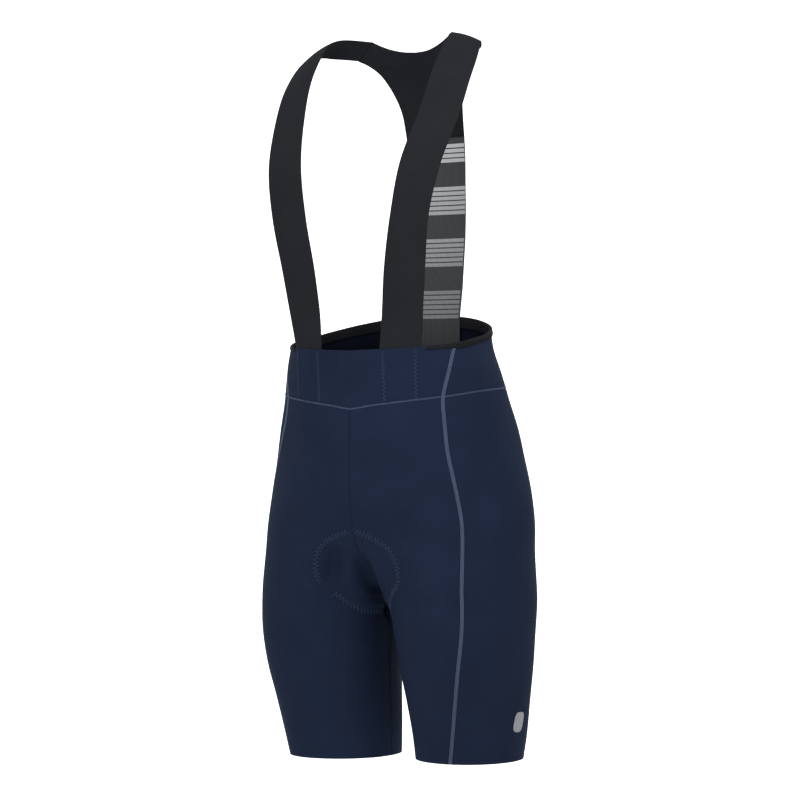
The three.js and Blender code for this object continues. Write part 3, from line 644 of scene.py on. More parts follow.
def relief(half):
    """Seams, folds, creases, the pad's form and the tails under the waistband."""
    side, waist, z = np.abs(half.from_side), np.abs(half.from_seam), half.body[..., 2]
    seams = seam_relief(side, half.down, 0.45, 0.4) + seam_relief(waist, half.across, 0.4, 1.1)
    middle = 0.16 * bell(half.across, 1.3) + 0.2 * bell(half.from_back, 1.3)
    inseam = 0.12 * bell(half.across, 1.2) + 0.12 * bell(half.from_back, 1.2)
    middle = np.where(z < CROTCH - 1, inseam, middle)
    folds = long_form(FRONT_FOLD, half.across, z) + long_form(SEAT_CLEFT, half.from_back, z)
    large = 0.35 * np.sin(z / 31 + 3 * half.turn) * np.sin(half.turn * 17 + z / 57)
    large = large * smooth(0, 14, side) * smooth(0, 10, waist)
    out = seams - middle + folds + large + crease_relief(CREASES, half.body)
    own = crease_relief(RIGHT_CREASES if half.right else LEFT_SWELLS, half.body)
    return out + own * smooth(0, 9, half.across) + pad_relief(half.body) + tail_relief(half)


for one_half in (LEFT, RIGHT):
    one_half.dress(relief(one_half))
CLOTH_TREE = whole_tree(LEFT.outer, RIGHT.outer)


# Meshes


def mesh_object(name, points, faces, material, uv=None, smooth_angle=50):
    mesh = bpy.data.meshes.new(name)
    mesh.from_pydata((points * MM).tolist(), [], faces.tolist() if hasattr(faces, "tolist") else faces)
    mesh.polygons.foreach_set("use_smooth", [True] * len(mesh.polygons))
    if smooth_angle:
        mesh.set_sharp_from_angle(angle=math.radians(smooth_angle))
    if uv is not None:
        layer = mesh.uv_layers.new(name="cloth")
        loops = np.empty(len(mesh.loops), int)
        mesh.loops.foreach_get("vertex_index", loops)
        layer.data.foreach_set("uv", (uv[loops] * MM).ravel())
    mesh.materials.append(material)
    mesh.update()
    obj = bpy.data.objects.new(name, mesh)
    bpy.context.collection.objects.link(obj)
    return obj


def stand_for(piece, node):
    """The piece takes a CAD node's place on the one body."""
    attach(piece, "root")
    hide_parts(node)


ROUND_STEPS = 4


def rolled(edge_outer, edge_inner, away):
    """Lines of a half-round edge from an outer edge to an inner one."""
    middle, half = (edge_outer + edge_inner) / 2, (edge_outer - edge_inner) / 2
    radius = np.linalg.norm(half, axis=-1, keepdims=True)
    lines = []
    for k in range(1, ROUND_STEPS):
        angle = np.pi * k / ROUND_STEPS
        lines.append(middle + half * math.cos(angle) + away * radius * math.sin(angle))
    return lines


def shell(name, outer, normal, thickness, material, uv, round_edges=(), reverse=False, inside=None):
    """A cloth of constant thickness behind an outer grid, with rounded or square edges."""
    rows, columns = outer.shape[:2]
    flat_outer, flat_inner = outer.reshape(-1, 3), (outer - normal * thickness).reshape(-1, 3)
    flat_uv = uv.reshape(-1, 2)
    points, uvs = [flat_outer, flat_inner], [flat_uv, flat_uv]
    start = rows * columns
    faces = [quads(rows, columns), quads(rows, columns, start)[:, ::-1]]
    index = np.arange(start).reshape(rows, columns)
    total = 2 * start
    edges = {
        "top": (index[0], outer[0] - outer[1], 1),
        "bottom": (index[-1], outer[-1] - outer[-2], -1),
        "left": (index[:, 0], outer[:, 0] - outer[:, 1], -1),
        "right": (index[:, -1], outer[:, -1] - outer[:, -2], 1),
    }
    for side, (line, away, turn) in edges.items():
        ladder = [line]
        if side in round_edges:
            for extra in rolled(flat_outer[line], flat_inner[line], unit(away)):
                points.append(extra)
                uvs.append(flat_uv[line])
                ladder.append(total + np.arange(len(line)))
                total += len(line)
        ladder.append(line + start)
        for a, b in zip(ladder, ladder[1:]):
            strip = np.stack([a[:-1], a[1:], b[1:], b[:-1]], -1)
            faces.append(strip if turn > 0 else strip[:, ::-1])
    faces = np.concatenate(faces)
    if reverse:
        faces = faces[:, ::-1]
    piece = mesh_object(name, np.concatenate(points), faces, material, np.concatenate(uvs))
    if inside is not None:
        piece.data.materials.append(inside)
        count = (rows - 1) * (columns - 1)
        side = [0] * count + [1] * count + [0] * (len(faces) - 2 * count)
        piece.data.polygons.foreach_set("material_index", side)
    return piece


# Materials


def srgb(red, green, blue):
    """A colour read as 0 to 255 in a picture, as Blender wants it."""
    channels = []
    for value in (red, green, blue):
        share = value / 255
        channels.append(share / 12.92 if share <= 0.04045 else ((share + 0.055) / 1.055) ** 2.4)
    return (*channels, 1.0)


class Shader:
    """A material's node tree, built a node at a time."""

    def __init__(self, name):
        self.material = bpy.data.materials.new(name)
        self.material.use_nodes = True
        self.tree = self.material.node_tree
        self.surface = self.tree.nodes["Principled BSDF"]

    def plug(self, socket, value):
        """Links another node's output to an input, or sets the input."""
        if isinstance(value, bpy.types.NodeSocket):
            self.tree.links.new(value, socket)
        else:
            socket.default_value = value

    def node(self, kind, **inputs):
        made = self.tree.nodes.new("ShaderNode" + kind)
        for key, value in inputs.items():
            if hasattr(made, key):
                setattr(made, key, value)
            else:
                self.plug(made.inputs[key.replace("_", " ")], value)
        return made

    def math(self, operation, a, b=0.0):
        made = self.tree.nodes.new("ShaderNodeMath")
        made.operation = operation
        self.plug(made.inputs[0], a)
        self.plug(made.inputs[1], b)
        return made.outputs[0]

    def times(self, first, *others):
        for other in others:
            first = self.math("MULTIPLY", first, other)
        return first

    def plus(self, first, *others):
        for other in others:
            first = self.math("ADD", first, other)
        return first

    def blend(self, factor, a, b):
        made = self.tree.nodes.new("ShaderNodeMix")
        made.data_type = "RGBA"
        for socket, value in ((made.inputs[0], factor), (made.inputs[6], a), (made.inputs[7], b)):
            self.plug(socket, value)
        return made.outputs[2]

    def uv(self):
        return self.node("UVMap", uv_map="cloth").outputs["UV"]

    def position(self):
        return self.node("TexCoord").outputs["Object"]

    def waves(self, vector, direction, pitch, distortion=0.0):
        """Bands of a pitch in metres."""
        made = self.node("TexWave", Vector=vector, Scale=math.pi / 10 / pitch, Distortion=distortion)
        made.bands_direction = direction
        return made.outputs["Fac"]

    def noise(self, vector, size, detail=3.0):
        return self.node("TexNoise", Vector=vector, Scale=1 / size, Detail=detail).outputs["Fac"]

    def bump(self, height, distance, under=None):
        made = self.node("Bump", Height=height, Distance=distance, Strength=1.0)
        if under is not None:
            self.plug(made.inputs["Normal"], under)
        return made.outputs["Normal"]

    def set(self, **values):
        for key, value in values.items():
            self.plug(self.surface.inputs[key.replace("_", " ")], value)
        return self.material


# Sizes of the slow changes of colour and of the fuzz, in metres
SLOW_SIZE = 0.05
KNIT_FUZZ = 0.0011
FINE_FUZZ = 0.0009
SHEEN_TINT = srgb(170, 185, 220)


def knit(name, dark, light, wale, course, depth, roughness, sheen):
    """Fine knit: rows of loops in a pitch across and along, over slow changes of colour."""
    s = Shader(name)
    uv, place = s.uv(), s.position()
    wales = s.waves(uv, "X", wale, 0.4)
    courses = s.waves(uv, "Y", course, 0.6)
    loops = s.plus(s.times(wales, 0.6), s.times(courses, 0.4))
    slow = s.noise(place, SLOW_SIZE)
    fuzz = s.noise(place, KNIT_FUZZ, 2.0)
    shade = s.plus(s.times(slow, 0.45), s.times(fuzz, 0.35), s.times(loops, 0.3))
    return s.set(
        Base_Color=s.blend(shade, srgb(*dark), srgb(*light)),
        Roughness=roughness,
        Normal=s.bump(loops, depth, s.bump(fuzz, depth * 0.8)),
        Sheen_Weight=sheen,
        Sheen_Roughness=0.4,
        Sheen_Tint=SHEEN_TINT,
        Specular_IOR_Level=0.04,
    )


def plain(name, colour, roughness):
    """Thread or film of one colour with a fine fuzz."""
    s = Shader(name)
    fuzz = s.noise(s.position(), FINE_FUZZ, 2.0)
    shade = s.plus(s.times(fuzz, 0.5), 0.72)
    return s.set(
        Base_Color=s.blend(shade, (0, 0, 0, 1), colour),
        Roughness=roughness,
        Normal=s.bump(fuzz, 0.00006),
        Specular_IOR_Level=0.1,
    )


# Bands of silver lines on the mesh, in millimetres; the top band lacks the lines above the first one
BAND_START = -102.0
BAND_PERIOD = 62.5
FIRST_LINE = -113.4
BANDS = 4
BAND_LINES = 6
LINE_PITCH = 5.8
LINE_SPACE = 1.4
LINES_HALF_WIDTH = 39.5
# The silver lines carry painted shade: darker at the lower height and lighter above it
SILVER_SHADE_HEIGHT = -290.0
SILVER_SHADE_REACH = 190.0
# Ribs and holes of the mesh, in metres
RIB_PITCH = 0.0017
HOLE_PITCH = 0.0011


def striped_mesh(name):
    """Dark ribbed mesh knit with bands of silver lines, painted darker towards the bottom as shade; the
    cloth's second coordinate is its height.
    """
    s = Shader(name)
    uv, place = s.uv(), s.position()
    ribs = s.waves(uv, "X", RIB_PITCH, 0.5)
    holes = s.waves(uv, "Y", HOLE_PITCH, 0.3)
    net = s.times(ribs, s.plus(s.times(holes, 0.5), 0.5))
    split = s.node("SeparateXYZ", Vector=uv)
    height = split.outputs["Y"]
    along = s.math("DIVIDE", s.math("SUBTRACT", BAND_START * MM, height), BAND_PERIOD * MM)
    in_period = s.times(s.math("FRACT", along), BAND_PERIOD)
    silver = s.times(
        s.math("LESS_THAN", in_period, BAND_LINES * LINE_PITCH - LINE_SPACE),
        s.math("LESS_THAN", along, BANDS),
        s.math("LESS_THAN", height, FIRST_LINE * MM),
        s.math("LESS_THAN", s.math("MODULO", in_period, LINE_PITCH), LINE_PITCH - LINE_SPACE),
        s.math("LESS_THAN", s.math("ABSOLUTE", split.outputs["X"]), LINES_HALF_WIDTH * MM),
    )
    shade = s.plus(s.times(net, 0.7), s.times(s.noise(place, FINE_FUZZ, 2.0), 0.3))
    dark = s.blend(shade, srgb(40, 42, 43), srgb(92, 94, 96))
    # A shaded and a lit copy of the silver, blended by height: painted shade darkening the lines towards the
    # bottom
    shaded_silver = s.blend(shade, srgb(98, 100, 102), srgb(168, 170, 172))
    lit_silver = s.blend(shade, srgb(158, 160, 162), srgb(238, 240, 242))
    light = s.blend(s.math("DIVIDE", s.plus(height, -SILVER_SHADE_HEIGHT * MM), SILVER_SHADE_REACH * MM), shaded_silver, lit_silver)
    return s.set(
        Base_Color=s.blend(silver, dark, light),
        Roughness=0.75,
        Normal=s.bump(s.plus(s.times(net, 0.6), silver), 0.00016),
        Specular_IOR_Level=0.08,
    )


# Dark and light of each knit, its loops across and along and their depth in metres, roughness and sheen
KNITS = {
    "navy_knit": ((20, 28, 44), (33, 43, 65), 0.00062, 0.0005, 0.00005, 0.85, 0.006),
    # A darker navy for the waistbands' inner faces: painted shade for the shadowed inside of the shorts
    "navy_inside_painted_shade": ((11, 14, 23), (19, 25, 40), 0.00062, 0.0005, 0.00005, 0.9, 0.0),
    "charcoal_knit": ((25, 27, 30), (39, 41, 45), 0.0009, 0.0012, 0.00008, 0.85, 0.006),
    "pad_cloth": ((24, 28, 38), (40, 46, 58), 0.0016, 0.0016, 0.0002, 0.9, 0.01),
    "black_elastic": ((16, 17, 19), (38, 39, 42), 0.0024, 0.0011, 0.0003, 0.8, 0.006),
}
NAVY, NAVY_PAINTED_SHADE, CHARCOAL, PAD_CLOTH, ELASTIC = (knit(name, *values) for name, values in KNITS.items())
MESH = striped_mesh("striped_mesh")
SEAM_THREAD = plain("seam_thread", srgb(94, 106, 132), 0.7)
FINE_THREAD = plain("fine_thread", srgb(84, 97, 126), 0.7)
SEAM_BASE = plain("seam_base", srgb(33, 42, 62), 0.85)
PALE_THREAD = plain("pale_thread", srgb(80, 93, 124), 0.7)
NAVY_THREAD = plain("navy_thread", srgb(26, 34, 53), 0.7)
BLACK_THREAD = plain("black_thread", srgb(36, 38, 41), 0.7)
REFLECTIVE = plain("reflective_film", srgb(150, 153, 157), 0.5)


# Legs and waistbands


def declare(piece, node, grid, flat=None):
    """A sheet of cloth that takes a CAD node's place; its width and height along the cloth are worked out
    but not kept.
    """
    stand_for(piece, node)
    flat = flat or (lengths(grid, 1)[:, -1].max(), lengths(grid, 0)[-1].max())


def leg_panels():
    for half, side in ((LEFT, "left"), (RIGHT, "right")):
        for name, columns in (("leg_front", FRONT), ("leg_back", BACK)):
            cut = (slice(SEAM_ROW, None), columns)
            piece = shell(
                f"{name}_{side}_knit", half.outer[cut] * half.flip, half.out[cut] * half.flip,
                LEG_CLOTH, NAVY, half.uv[cut], ("bottom",), half.right,
            )
            width = max(half.across[cut][:, -1] - half.across[cut][:, 0])
            length = half.down[-1, SIDE] - half.down[SEAM_ROW, SIDE]
            declare(piece, f"{name}_{side}", half.outer[cut], flat=(width, length))


def waistbands():
    for name, columns, at_front in (("waistband_front", FRONT, True), ("waistband_back", BACK, False)):
        own = [g[:SEAM_ROW + 1, columns] for g in (LEFT.outer, LEFT.out, LEFT.uv)]
        other = [own[0] * MIRROR, own[1] * MIRROR, own[2] * np.array([-1.0, 1.0])]
        if at_front:
            grids = [np.concatenate([b[:, ::-1], a[:, 1:]], 1) for a, b in zip(own, other)]
        else:
            grids = [np.concatenate([a, b[:, ::-1][:, 1:]], 1) for a, b in zip(own, other)]
        # The inner faces take the darker navy, painted shade for the shadowed inside
        piece = shell(f"{name}_knit", grids[0], grids[1], LEG_CLOTH, NAVY, grids[2], ("top",), inside=NAVY_PAINTED_SHADE)
        declare(piece, name, grids[0])


leg_panels()
waistbands()


# Places on the waistband


def band_line(x_wanted, front, drop):
    """Places and outward directions on the waistband at a distance X and shares of its height."""
    columns = FRONT if front else slice(LAST, SIDE - 1, -1)
    grid, normal = LEFT.outer[:SEAM_ROW + 1, columns], LEFT.out[:SEAM_ROW + 1, columns]
    places, normals = (
        np.array([point_at(abs(x_wanted), row[:, 0], line) for row, line in zip(grid, lines)])
        for lines in (grid, normal)
    )
    along = running_length(places)
    place, out = point_at(drop * along[-1], along, places), unit(point_at(drop * along[-1], along, normals))
    return (place * MIRROR, out * MIRROR) if x_wanted < 0 else (place, out)


# Straps

STRAP_CELLS = 216
CREST_SHARE = 0.67
STRAP_WIDE = 26
TAIL_CELLS = 24
TAIL_SPACE = 0.1


def tail_grid(x_wanted, front, share, depth):
    """Rows of a tail behind the waistband, from the rim down to a share of its height."""
    lines = []
    for x in x_wanted:
        place, out = band_line(x, front, np.linspace(0, share, TAIL_CELLS + 1))
        lines.append(place - out * depth)
    return np.array(lines).transpose(1, 0, 2)


def sheet_normals(grid):
    return unit(np.cross(np.gradient(grid, axis=0), np.gradient(grid, axis=1)))


def strap_grid(lift):
    """Rows from the yoke down to the tail's end; lift raises the outer edge on the shoulder."""
    across = np.linspace(0, 1, STRAP_WIDE + 1)
    shares = np.linspace(1, 0, STRAP_CELLS + 1)
    inner = spline(points_of(STRAP, ("inner_x", "inner_y", "inner_z")), shares)
    outer = spline(points_of(STRAP, ("outer_x", "outer_y", "outer_z")), shares)
    outer[:, 2] += lift * bell(shares - CREST_SHARE, 0.08)
    crown = np.interp(shares, np.linspace(0, 1, len(STRAP["crown"])), STRAP["crown"])
    out = unit(np.cross(outer - inner, -np.gradient(inner, axis=0)))
    upper = mix(inner[:, None], outer[:, None], across[None, :, None])
    upper += (out * crown[:, None])[:, None] * (4 * across * (1 - across))[None, :, None]
    tail = tail_grid(mix(TAIL_INNER_X, TAIL_OUTER_X, across), True, TAIL_SHARE, LEG_CLOTH + TAIL_SPACE)
    return relaxed(np.concatenate([upper, tail]), STRAP_CELLS, 10)


def relaxed(grid, row, reach):
    """Eases the bend where a piece passes over the rim."""
    out = grid.copy()
    for _ in range(12):
        span = slice(row - reach, row + 3)
        out[span] = (out[row - reach - 1:row + 2] + 2 * out[span] + out[row - reach + 1:row + 4]) / 4
    return out


def sheet_uv(grid):
    across = lengths(grid, 1)
    return np.stack([across - across[:, -1:] / 2, -lengths(grid, 0)], -1)


def sheet_piece(node, grid, thickness, material, uv, round_edges, flip=1, reverse=False):
    """A cloth on a grid of its own that takes a CAD node's place."""
    outer, normal = grid * flip, sheet_normals(grid) * flip
    piece = shell(f"{node}_knit", outer, normal, thickness, material, uv, round_edges, reverse)
    declare(piece, node, grid)


def straps():
    """Both straps; on the photographed pair the left one sits a little higher on its outer edge."""
    for side, flip, reverse, lift in (("left", 1, False, 3.0), ("right", MIRROR, True, -2.5)):
        grid = strap_grid(lift)
        sheet_piece(
            f"strap_{side}", grid, STRAP_CLOTH, CHARCOAL, sheet_uv(grid),
            ("left", "right", "bottom"), flip, reverse,
        )


straps()


# Yoke

YOKE_LINES = 80
YOKE_WIDE = 72


def yoke_grid():
    """A sheet between its four edges, from the neckline down to the back panel."""
    v, u = np.linspace(0, 1, YOKE_LINES + 1)[:, None], np.linspace(0, 1, YOKE_WIDE + 1)
    neck, arm = (points_of(rows, "xyz") for rows in (NECKLINE, ARMHOLE))
    half, edge, middle, z = (BACK_PANEL[name][0] for name in ("half_width", "edge_y", "middle_y", "z"))
    top, bottom = spline(neck, u), np.stack([half * u, mix(middle, edge, u**2), z + 0 * u], -1)
    along = v[:, 0]
    on_strap = mix(neck[-1], arm[0], v / YOKE_STRAP_SHARE)
    on_arm = spline(arm, (along - YOKE_STRAP_SHARE) / (1 - YOKE_STRAP_SHARE))
    side = np.where(v <= YOKE_STRAP_SHARE, on_strap, on_arm) - mix(top[-1], bottom[-1], v)
    start, end = top[0], bottom[0]
    centre = (
        (1 - v) ** 3 * start + 3 * (1 - v) ** 2 * v * (start + YOKE_TOP_PULL)
        + 3 * (1 - v) * v**2 * (end - YOKE_BOTTOM_PULL) + v**3 * end
    ) - mix(start, end, v)
    across = u[None, :, None]
    half_grid = mix(top[None], bottom[None], v[..., None])
    half_grid = half_grid + (1 - across) * centre[:, None] + across * side[:, None]
    return np.concatenate([half_grid[:, ::-1], half_grid[:, 1:] * MIRROR], 1)


YOKE_GRID = yoke_grid()


sheet_piece(
    "back_yoke", YOKE_GRID, STRAP_CLOTH, CHARCOAL, sheet_uv(YOKE_GRID), ("top", "bottom"),
)


# Back panel

PANEL_LINES = 96
PANEL_WIDE = 40


def panel_grid():
    z = np.linspace(BACK_PANEL["z"][0] - SEAM_GAP, BACK_PANEL["z"][-1], PANEL_LINES + 1)
    half, edge, middle = (c[:, None] for c in columns_at(BACK_PANEL, "half_width edge_y middle_y", z))
    across = np.linspace(1, -1, PANEL_WIDE + 1)[None, :]
    upper = np.stack([half * across, mix(middle, edge, across**2), z[:, None] + 0 * across], -1)
    depth = LEG_WALL + SEAM_GAP + TAPE_CLOTH + SEAM_GAP
    tail = tail_grid(PANEL_TAIL_HALF_WIDTH * across[0], False, PANEL_TAIL_SHARE, depth)
    join = np.linspace(0, 1, 14)[1:-1, None, None]
    bridge = mix(upper[-1], tail[0], join)
    return relaxed(np.concatenate([upper, bridge, tail]), PANEL_LINES + 12, 12)


PANEL_GRID = panel_grid()


sheet_piece(
    "back_panel", PANEL_GRID, PANEL_CLOTH, MESH, PANEL_GRID[..., ::2],
    ("left", "right", "bottom"),
)


# Waist binding


def swept(name, sections, material, uv):
    """A closed body through sections of equal numbers of points."""
    count, size = sections.shape[:2]
    index = np.arange(count * size).reshape(count, size)
    ring = np.roll(index, -1, axis=1)
    faces = np.stack([index[:-1], ring[:-1], ring[1:], index[1:]], -1).reshape(-1, 4)[:, ::-1].tolist()
    faces += [index[0].tolist(), index[-1][::-1].tolist()]
    return mesh_object(name, sections.reshape(-1, 3), faces, material, uv.reshape(-1, 2), 60)


def tape_sections():
    """Outline of the folded tape at each column, from the left strap round the back to the right one."""
    first = int(np.argmax(LEFT.outer[0, :, 0] > TAPE_START_X))
    sections, marks = [], []
    length = LEFT.across[0]
    for column in range(first, LAST + 1):
        share = smooth(-14, 14, LEFT.from_side[0, column])
        drop = mix(TAPE_FRONT_DROP, TAPE_BACK_DROP, share)
        line, out = LEFT.outer[:SEAM_ROW, column], LEFT.out[:SEAM_ROW, column]
        along = LEFT.down[:SEAM_ROW, column]
        up = unit(line[0] - line[1])

        def at(level, offset):
            if level <= 0:
                return line[0] - up * level + out[0] * offset
            return point_at(level, along, line) + unit(point_at(level, along, out)) * offset

        over, under, thick = TAPE_SPACE, -LEG_CLOTH - TAPE_SPACE, TAPE_CLOTH
        inner = TAPE_INNER_DROP
        outline = [(drop, over + thick * 0.15), (drop + 0.15, over + thick * 0.6)]
        outline += [(drop - 0.35, over + thick), (drop * 0.5, over + thick)]
        for a in np.linspace(0, np.pi, 7):
            crest = mix(over + thick, under - thick, (1 - math.cos(a)) / 2)
            outline.append((-0.6 - 0.75 * math.sin(a), crest))
        outline += [(inner * 0.5, under - thick), (inner, under - thick), (inner, under)]
        outline += [(2.0, under), (-0.5, under), (-0.5, over), (2.0, over)]
        sections.append([at(*place) for place in outline])
        level = [-drop, -drop, -drop + 0.5, -drop * 0.5, *np.linspace(0, 3, 7), 9, 15, 15, 5, 3, 0, -2]
        marks.append([[v, length[column]] for v in level])
    left, mark = np.array(sections), np.array(marks, float)
    mirrored = mark[:-1][::-1] * np.array([1.0, -1.0]) + np.array([0.0, 2 * length[-1]])
    return then_mirrored(left), np.concatenate([mark, mirrored])


def waist_binding():
    sections, marks = tape_sections()
    stand_for(swept("waist_binding_tape", sections, ELASTIC, marks), "waist_binding")


waist_binding()


# Seat pad


def seat_pad():
    lift = PAD_LIFT * bell(PAD_ALONG - PAD_LIFT_AT, PAD_LIFT_REACH)
    dents = np.zeros(PAD_PLACES.shape[:2])
    for half in (LEFT, RIGHT):
        _, under_cloth = distance_to(PAD_PLACES.reshape(-1, 3), half.body.reshape(-1, 3))
        dents = np.maximum(dents, -half.relief.ravel()[under_cloth].reshape(dents.shape))
    depth = (LEG_WALL + SEAM_GAP + lift)[:, None] + dents
    ends = np.sqrt(np.maximum(1 - np.linspace(-1, 1, PAD_LINES + 1) ** 2, 0))
    across = np.linspace(0, 1, PAD_STEPS + 1)
    thick = mix(PAD_EDGE, PAD_MIDDLE, (1 - across[None, :] ** 3) * ends[:, None])
    distance = across[None, :] * curve_at(PAD, "along", "half_width", PAD_ALONG)[:, None]
    channel = 2.2 * bell(distance, 5) + 1.6 * bell(distance - 30, 3.5) * smooth(-60, -20, PAD_ALONG)[:, None]
    thick = np.maximum(thick - channel * ends[:, None], PAD_EDGE * 0.6)
    under = PAD_PLACES - PAD_NORMALS * depth[..., None]
    over = PAD_PLACES - PAD_NORMALS * (depth + thick)[..., None]

    def full(half):
        return np.concatenate([(half * MIRROR)[:, ::-1], half[:, 1:]], 1)

    low, high = full(under), full(over)
    rows, columns = low.shape[:2]
    start = rows * columns
    faces = [quads(rows, columns), quads(rows, columns, start)[:, ::-1]]
    index = np.arange(start).reshape(rows, columns)
    rim = np.concatenate([index[0], index[1:, -1], index[-1, :-1][::-1], index[1:-1, 0][::-1]])
    faces.append(np.stack([rim, np.roll(rim, -1), np.roll(rim, -1) + start, rim + start], -1))
    points = np.concatenate([low.reshape(-1, 3), high.reshape(-1, 3)])
    side = np.concatenate([-distance[:, ::-1], distance[:, 1:]], 1)
    uv = np.stack([side, PAD_ALONG[:, None] + 0 * side], -1).reshape(-1, 2)
    piece = mesh_object("seat_pad_foam", points, np.concatenate(faces), PAD_CLOTH, np.concatenate([uv, uv]))
    stand_for(piece, "seat_pad")


seat_pad()


# Stitches

# Places inside the body and the left leg, away from which the pad's stitches and the tab face
PAD_HEART = np.array([0, 20.0, -560.0])
LEG_HEART = np.array([85.0, 35.0, -790.0])
ZIGZAG_POINTS = 3


class Threads:
    """Many threads in one mesh."""

    def __init__(self, radius, sides):
        self.radius, self.sides = radius, sides
        self.points, self.faces, self.total = [], [], 0

    def add(self, path, normals):
        """A thread along a path on cloth with the given outward directions."""
        tangent = unit(np.gradient(path, axis=0))
        side = unit(np.cross(tangent, normals))
        up = unit(np.cross(side, tangent))
        angles = np.linspace(0, 2 * np.pi, self.sides, endpoint=False)[None, :, None]
        ring = side[:, None] * np.cos(angles) + up[:, None] * np.sin(angles)
        shape = path[:, None] + ring * self.radius
        count = len(path)
        index = self.total + np.arange(count * self.sides).reshape(count, self.sides)
        turned = np.roll(index, -1, axis=1)
        self.faces.append(np.stack([index[:-1], turned[:-1], turned[1:], index[1:]], -1).reshape(-1, 4))
        self.points.append(shape.reshape(-1, 3))
        self.total += count * self.sides

    def build(self, name, material):
        piece = mesh_object(name, np.concatenate(self.points), np.concatenate(self.faces), material, None, 0)
        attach(piece, "root")


class SeamPath:
    """A line on the cloth, with the direction along it, across it and out of it, by length."""

    def __init__(self, places, normals):
        self.places = places
        self.normals = unit(normals)
        self.along = running_length(places)
        self.length = self.along[-1]

    def at(self, along):
        """Place, outward direction and crosswise direction."""
        place, ahead, behind = (point_at(along + s, self.along, self.places) for s in (0, 0.6, -0.6))
        normal = unit(point_at(along, self.along, self.normals))
        return place, normal, unit(np.cross(normal, ahead - behind))

    def mirrored(self):
        return SeamPath(self.places * MIRROR, self.normals * MIRROR)

    def offset(self, along, across, out):
        """Places moved across the path and outwards, and their outward directions."""
        place, normal, cross = self.at(along)
        return place + cross * np.asarray(across)[..., None] + normal * np.asarray(out)[..., None], normal


def zigzag(threads, path, pitch, width, out, start=0.0, cloth=None):
    """A zigzag thread: pitch is a whole period, width its full width; it can follow a cloth's relief."""
    corners = int((path.length - start) / (pitch / 2))
    phase = np.arange(corners * ZIGZAG_POINTS + 1) / ZIGZAG_POINTS
    along = start + phase * pitch / 2
    wave = np.abs((phase % 2) - 1) * 2 - 1
    bow = out + 0.12 * np.sin(np.pi * (phase % 1))
    if cloth is None:
        threads.add(*path.offset(along, wave * width / 2, bow))
        return
    places, normals = path.offset(along, wave * width / 2, np.zeros(len(bow)))
    places = np.array([nearest(cloth, p)[0] for p in places])
    threads.add(places + normals * bow[:, None], normals)


def line_stitch(threads, path, pitch, across, out):
    """Straight stitches whose ends dip into the cloth."""
    u = np.linspace(0.08, 0.92, 5)
    for k in range(int(path.length / pitch)):
        threads.add(*path.offset((k + u) * pitch, across + 0 * u, out - 0.35 * np.abs(2 * u - 1) ** 4))


# Half of a seam band's profile: shares of its width and height, from the edge to the middle
RIBBON_PROFILE = ((-0.5, -0.25), (-0.46, 0.6), (-0.25, 1.0), (0, 0.88))
RIBBON_SPACING = 1.2


def ribbon(name, paths, width, height, material):
    """A low raised band along each path, under the stitches."""
    points, faces, total = [], [], 0
    profile = RIBBON_PROFILE + tuple((-across, out) for across, out in RIBBON_PROFILE[-2::-1])
    for path in paths:
        along = np.linspace(0, path.length, int(path.length / RIBBON_SPACING) + 2)
        level = 0 * along
        lines = [path.offset(along, a * width + level, out * height + level)[0] for a, out in profile]
        grid = np.stack(lines, 1)
        rows, columns = grid.shape[:2]
        points.append(grid.reshape(-1, 3))
        faces.append(quads(rows, columns, total)[:, ::-1])
        total += rows * columns
    piece = mesh_object(name, np.concatenate(points), np.concatenate(faces), material, None, 70)
    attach(piece, "root")


def coverstitch(paths, name, width, pitch, thread, colour):
    """A flat seam: a low band, crossing threads over it and a row of stitches along each side."""
    ribbon(f"{name}_band", paths, width, 0.42, SEAM_BASE)
    cross, rows = Threads(thread * 0.8, 4), Threads(thread, 5)
    for path in paths:
        zigzag(cross, path, pitch, width * 0.9, 0.5)
        zigzag(cross, path, pitch, width * 0.9, 0.52, start=pitch / 2)
        for across in (-0.4, 0.0, 0.4):
            line_stitch(rows, path, pitch, across * width, 0.6)
    cross.build(f"{name}_cross_threads", colour)
    rows.build(f"{name}_needle_threads", colour)


def path_on(half, rows, column):
    return SeamPath(half.outer[rows, column] * half.flip, half.out[rows, column] * half.flip)


def waist_path():
    grids = [g[SEAM_ROW] for g in (LEFT.outer, LEFT.out)]
    return SeamPath(*(then_mirrored((g * MIRROR)[::-1]) for g in grids))


side_paths = [path_on(half, slice(None), SIDE) for half in (LEFT, RIGHT)]
coverstitch(side_paths, "side_seams", 4.4, 2.6, 0.24, SEAM_THREAD)
coverstitch([waist_path()], "waist_seam", 2.1, 2.3, 0.12, FINE_THREAD)


def centre_seams():
    """Fine tone-on-tone seams: centre front and back, and the inseams."""
    threads = Threads(0.17, 4)
    above = slice(SEAM_ROW + 2, CROTCH_ROW)
    below = slice(CROTCH_ROW + 2, None)
    places = [(LEFT, above, 0), (LEFT, above, LAST), (LEFT, below, 0), (RIGHT, below, 0)]
    for half, rows, column in places:
        zigzag(threads, path_on(half, rows, column), 2.4, 2.6, 0.12)
    threads.build("centre_seam_threads", NAVY_THREAD)


centre_seams()


def tail_stitches():
    """Zigzags that hold the strap tails and the back panel's tail to the waistband."""
    threads = Threads(0.14, 5)
    lines = [
        (TAIL_INNER_X + 4.5, True, 0.04, 0.97),
        (TAIL_OUTER_X - 5.5, True, 0.04, 0.97),
        (PANEL_TAIL_HALF_WIDTH - 1.5, False, 0.13, 0.92),
    ]
    for x, at_front, start, end in lines:
        path = SeamPath(*band_line(x, at_front, np.linspace(start, end, 60)))
        for one in (path, path.mirrored()):
            zigzag(threads, one, 4.6, 4.2, 0.14)
    threads.build("tail_zigzag_threads", PALE_THREAD)


tail_stitches()


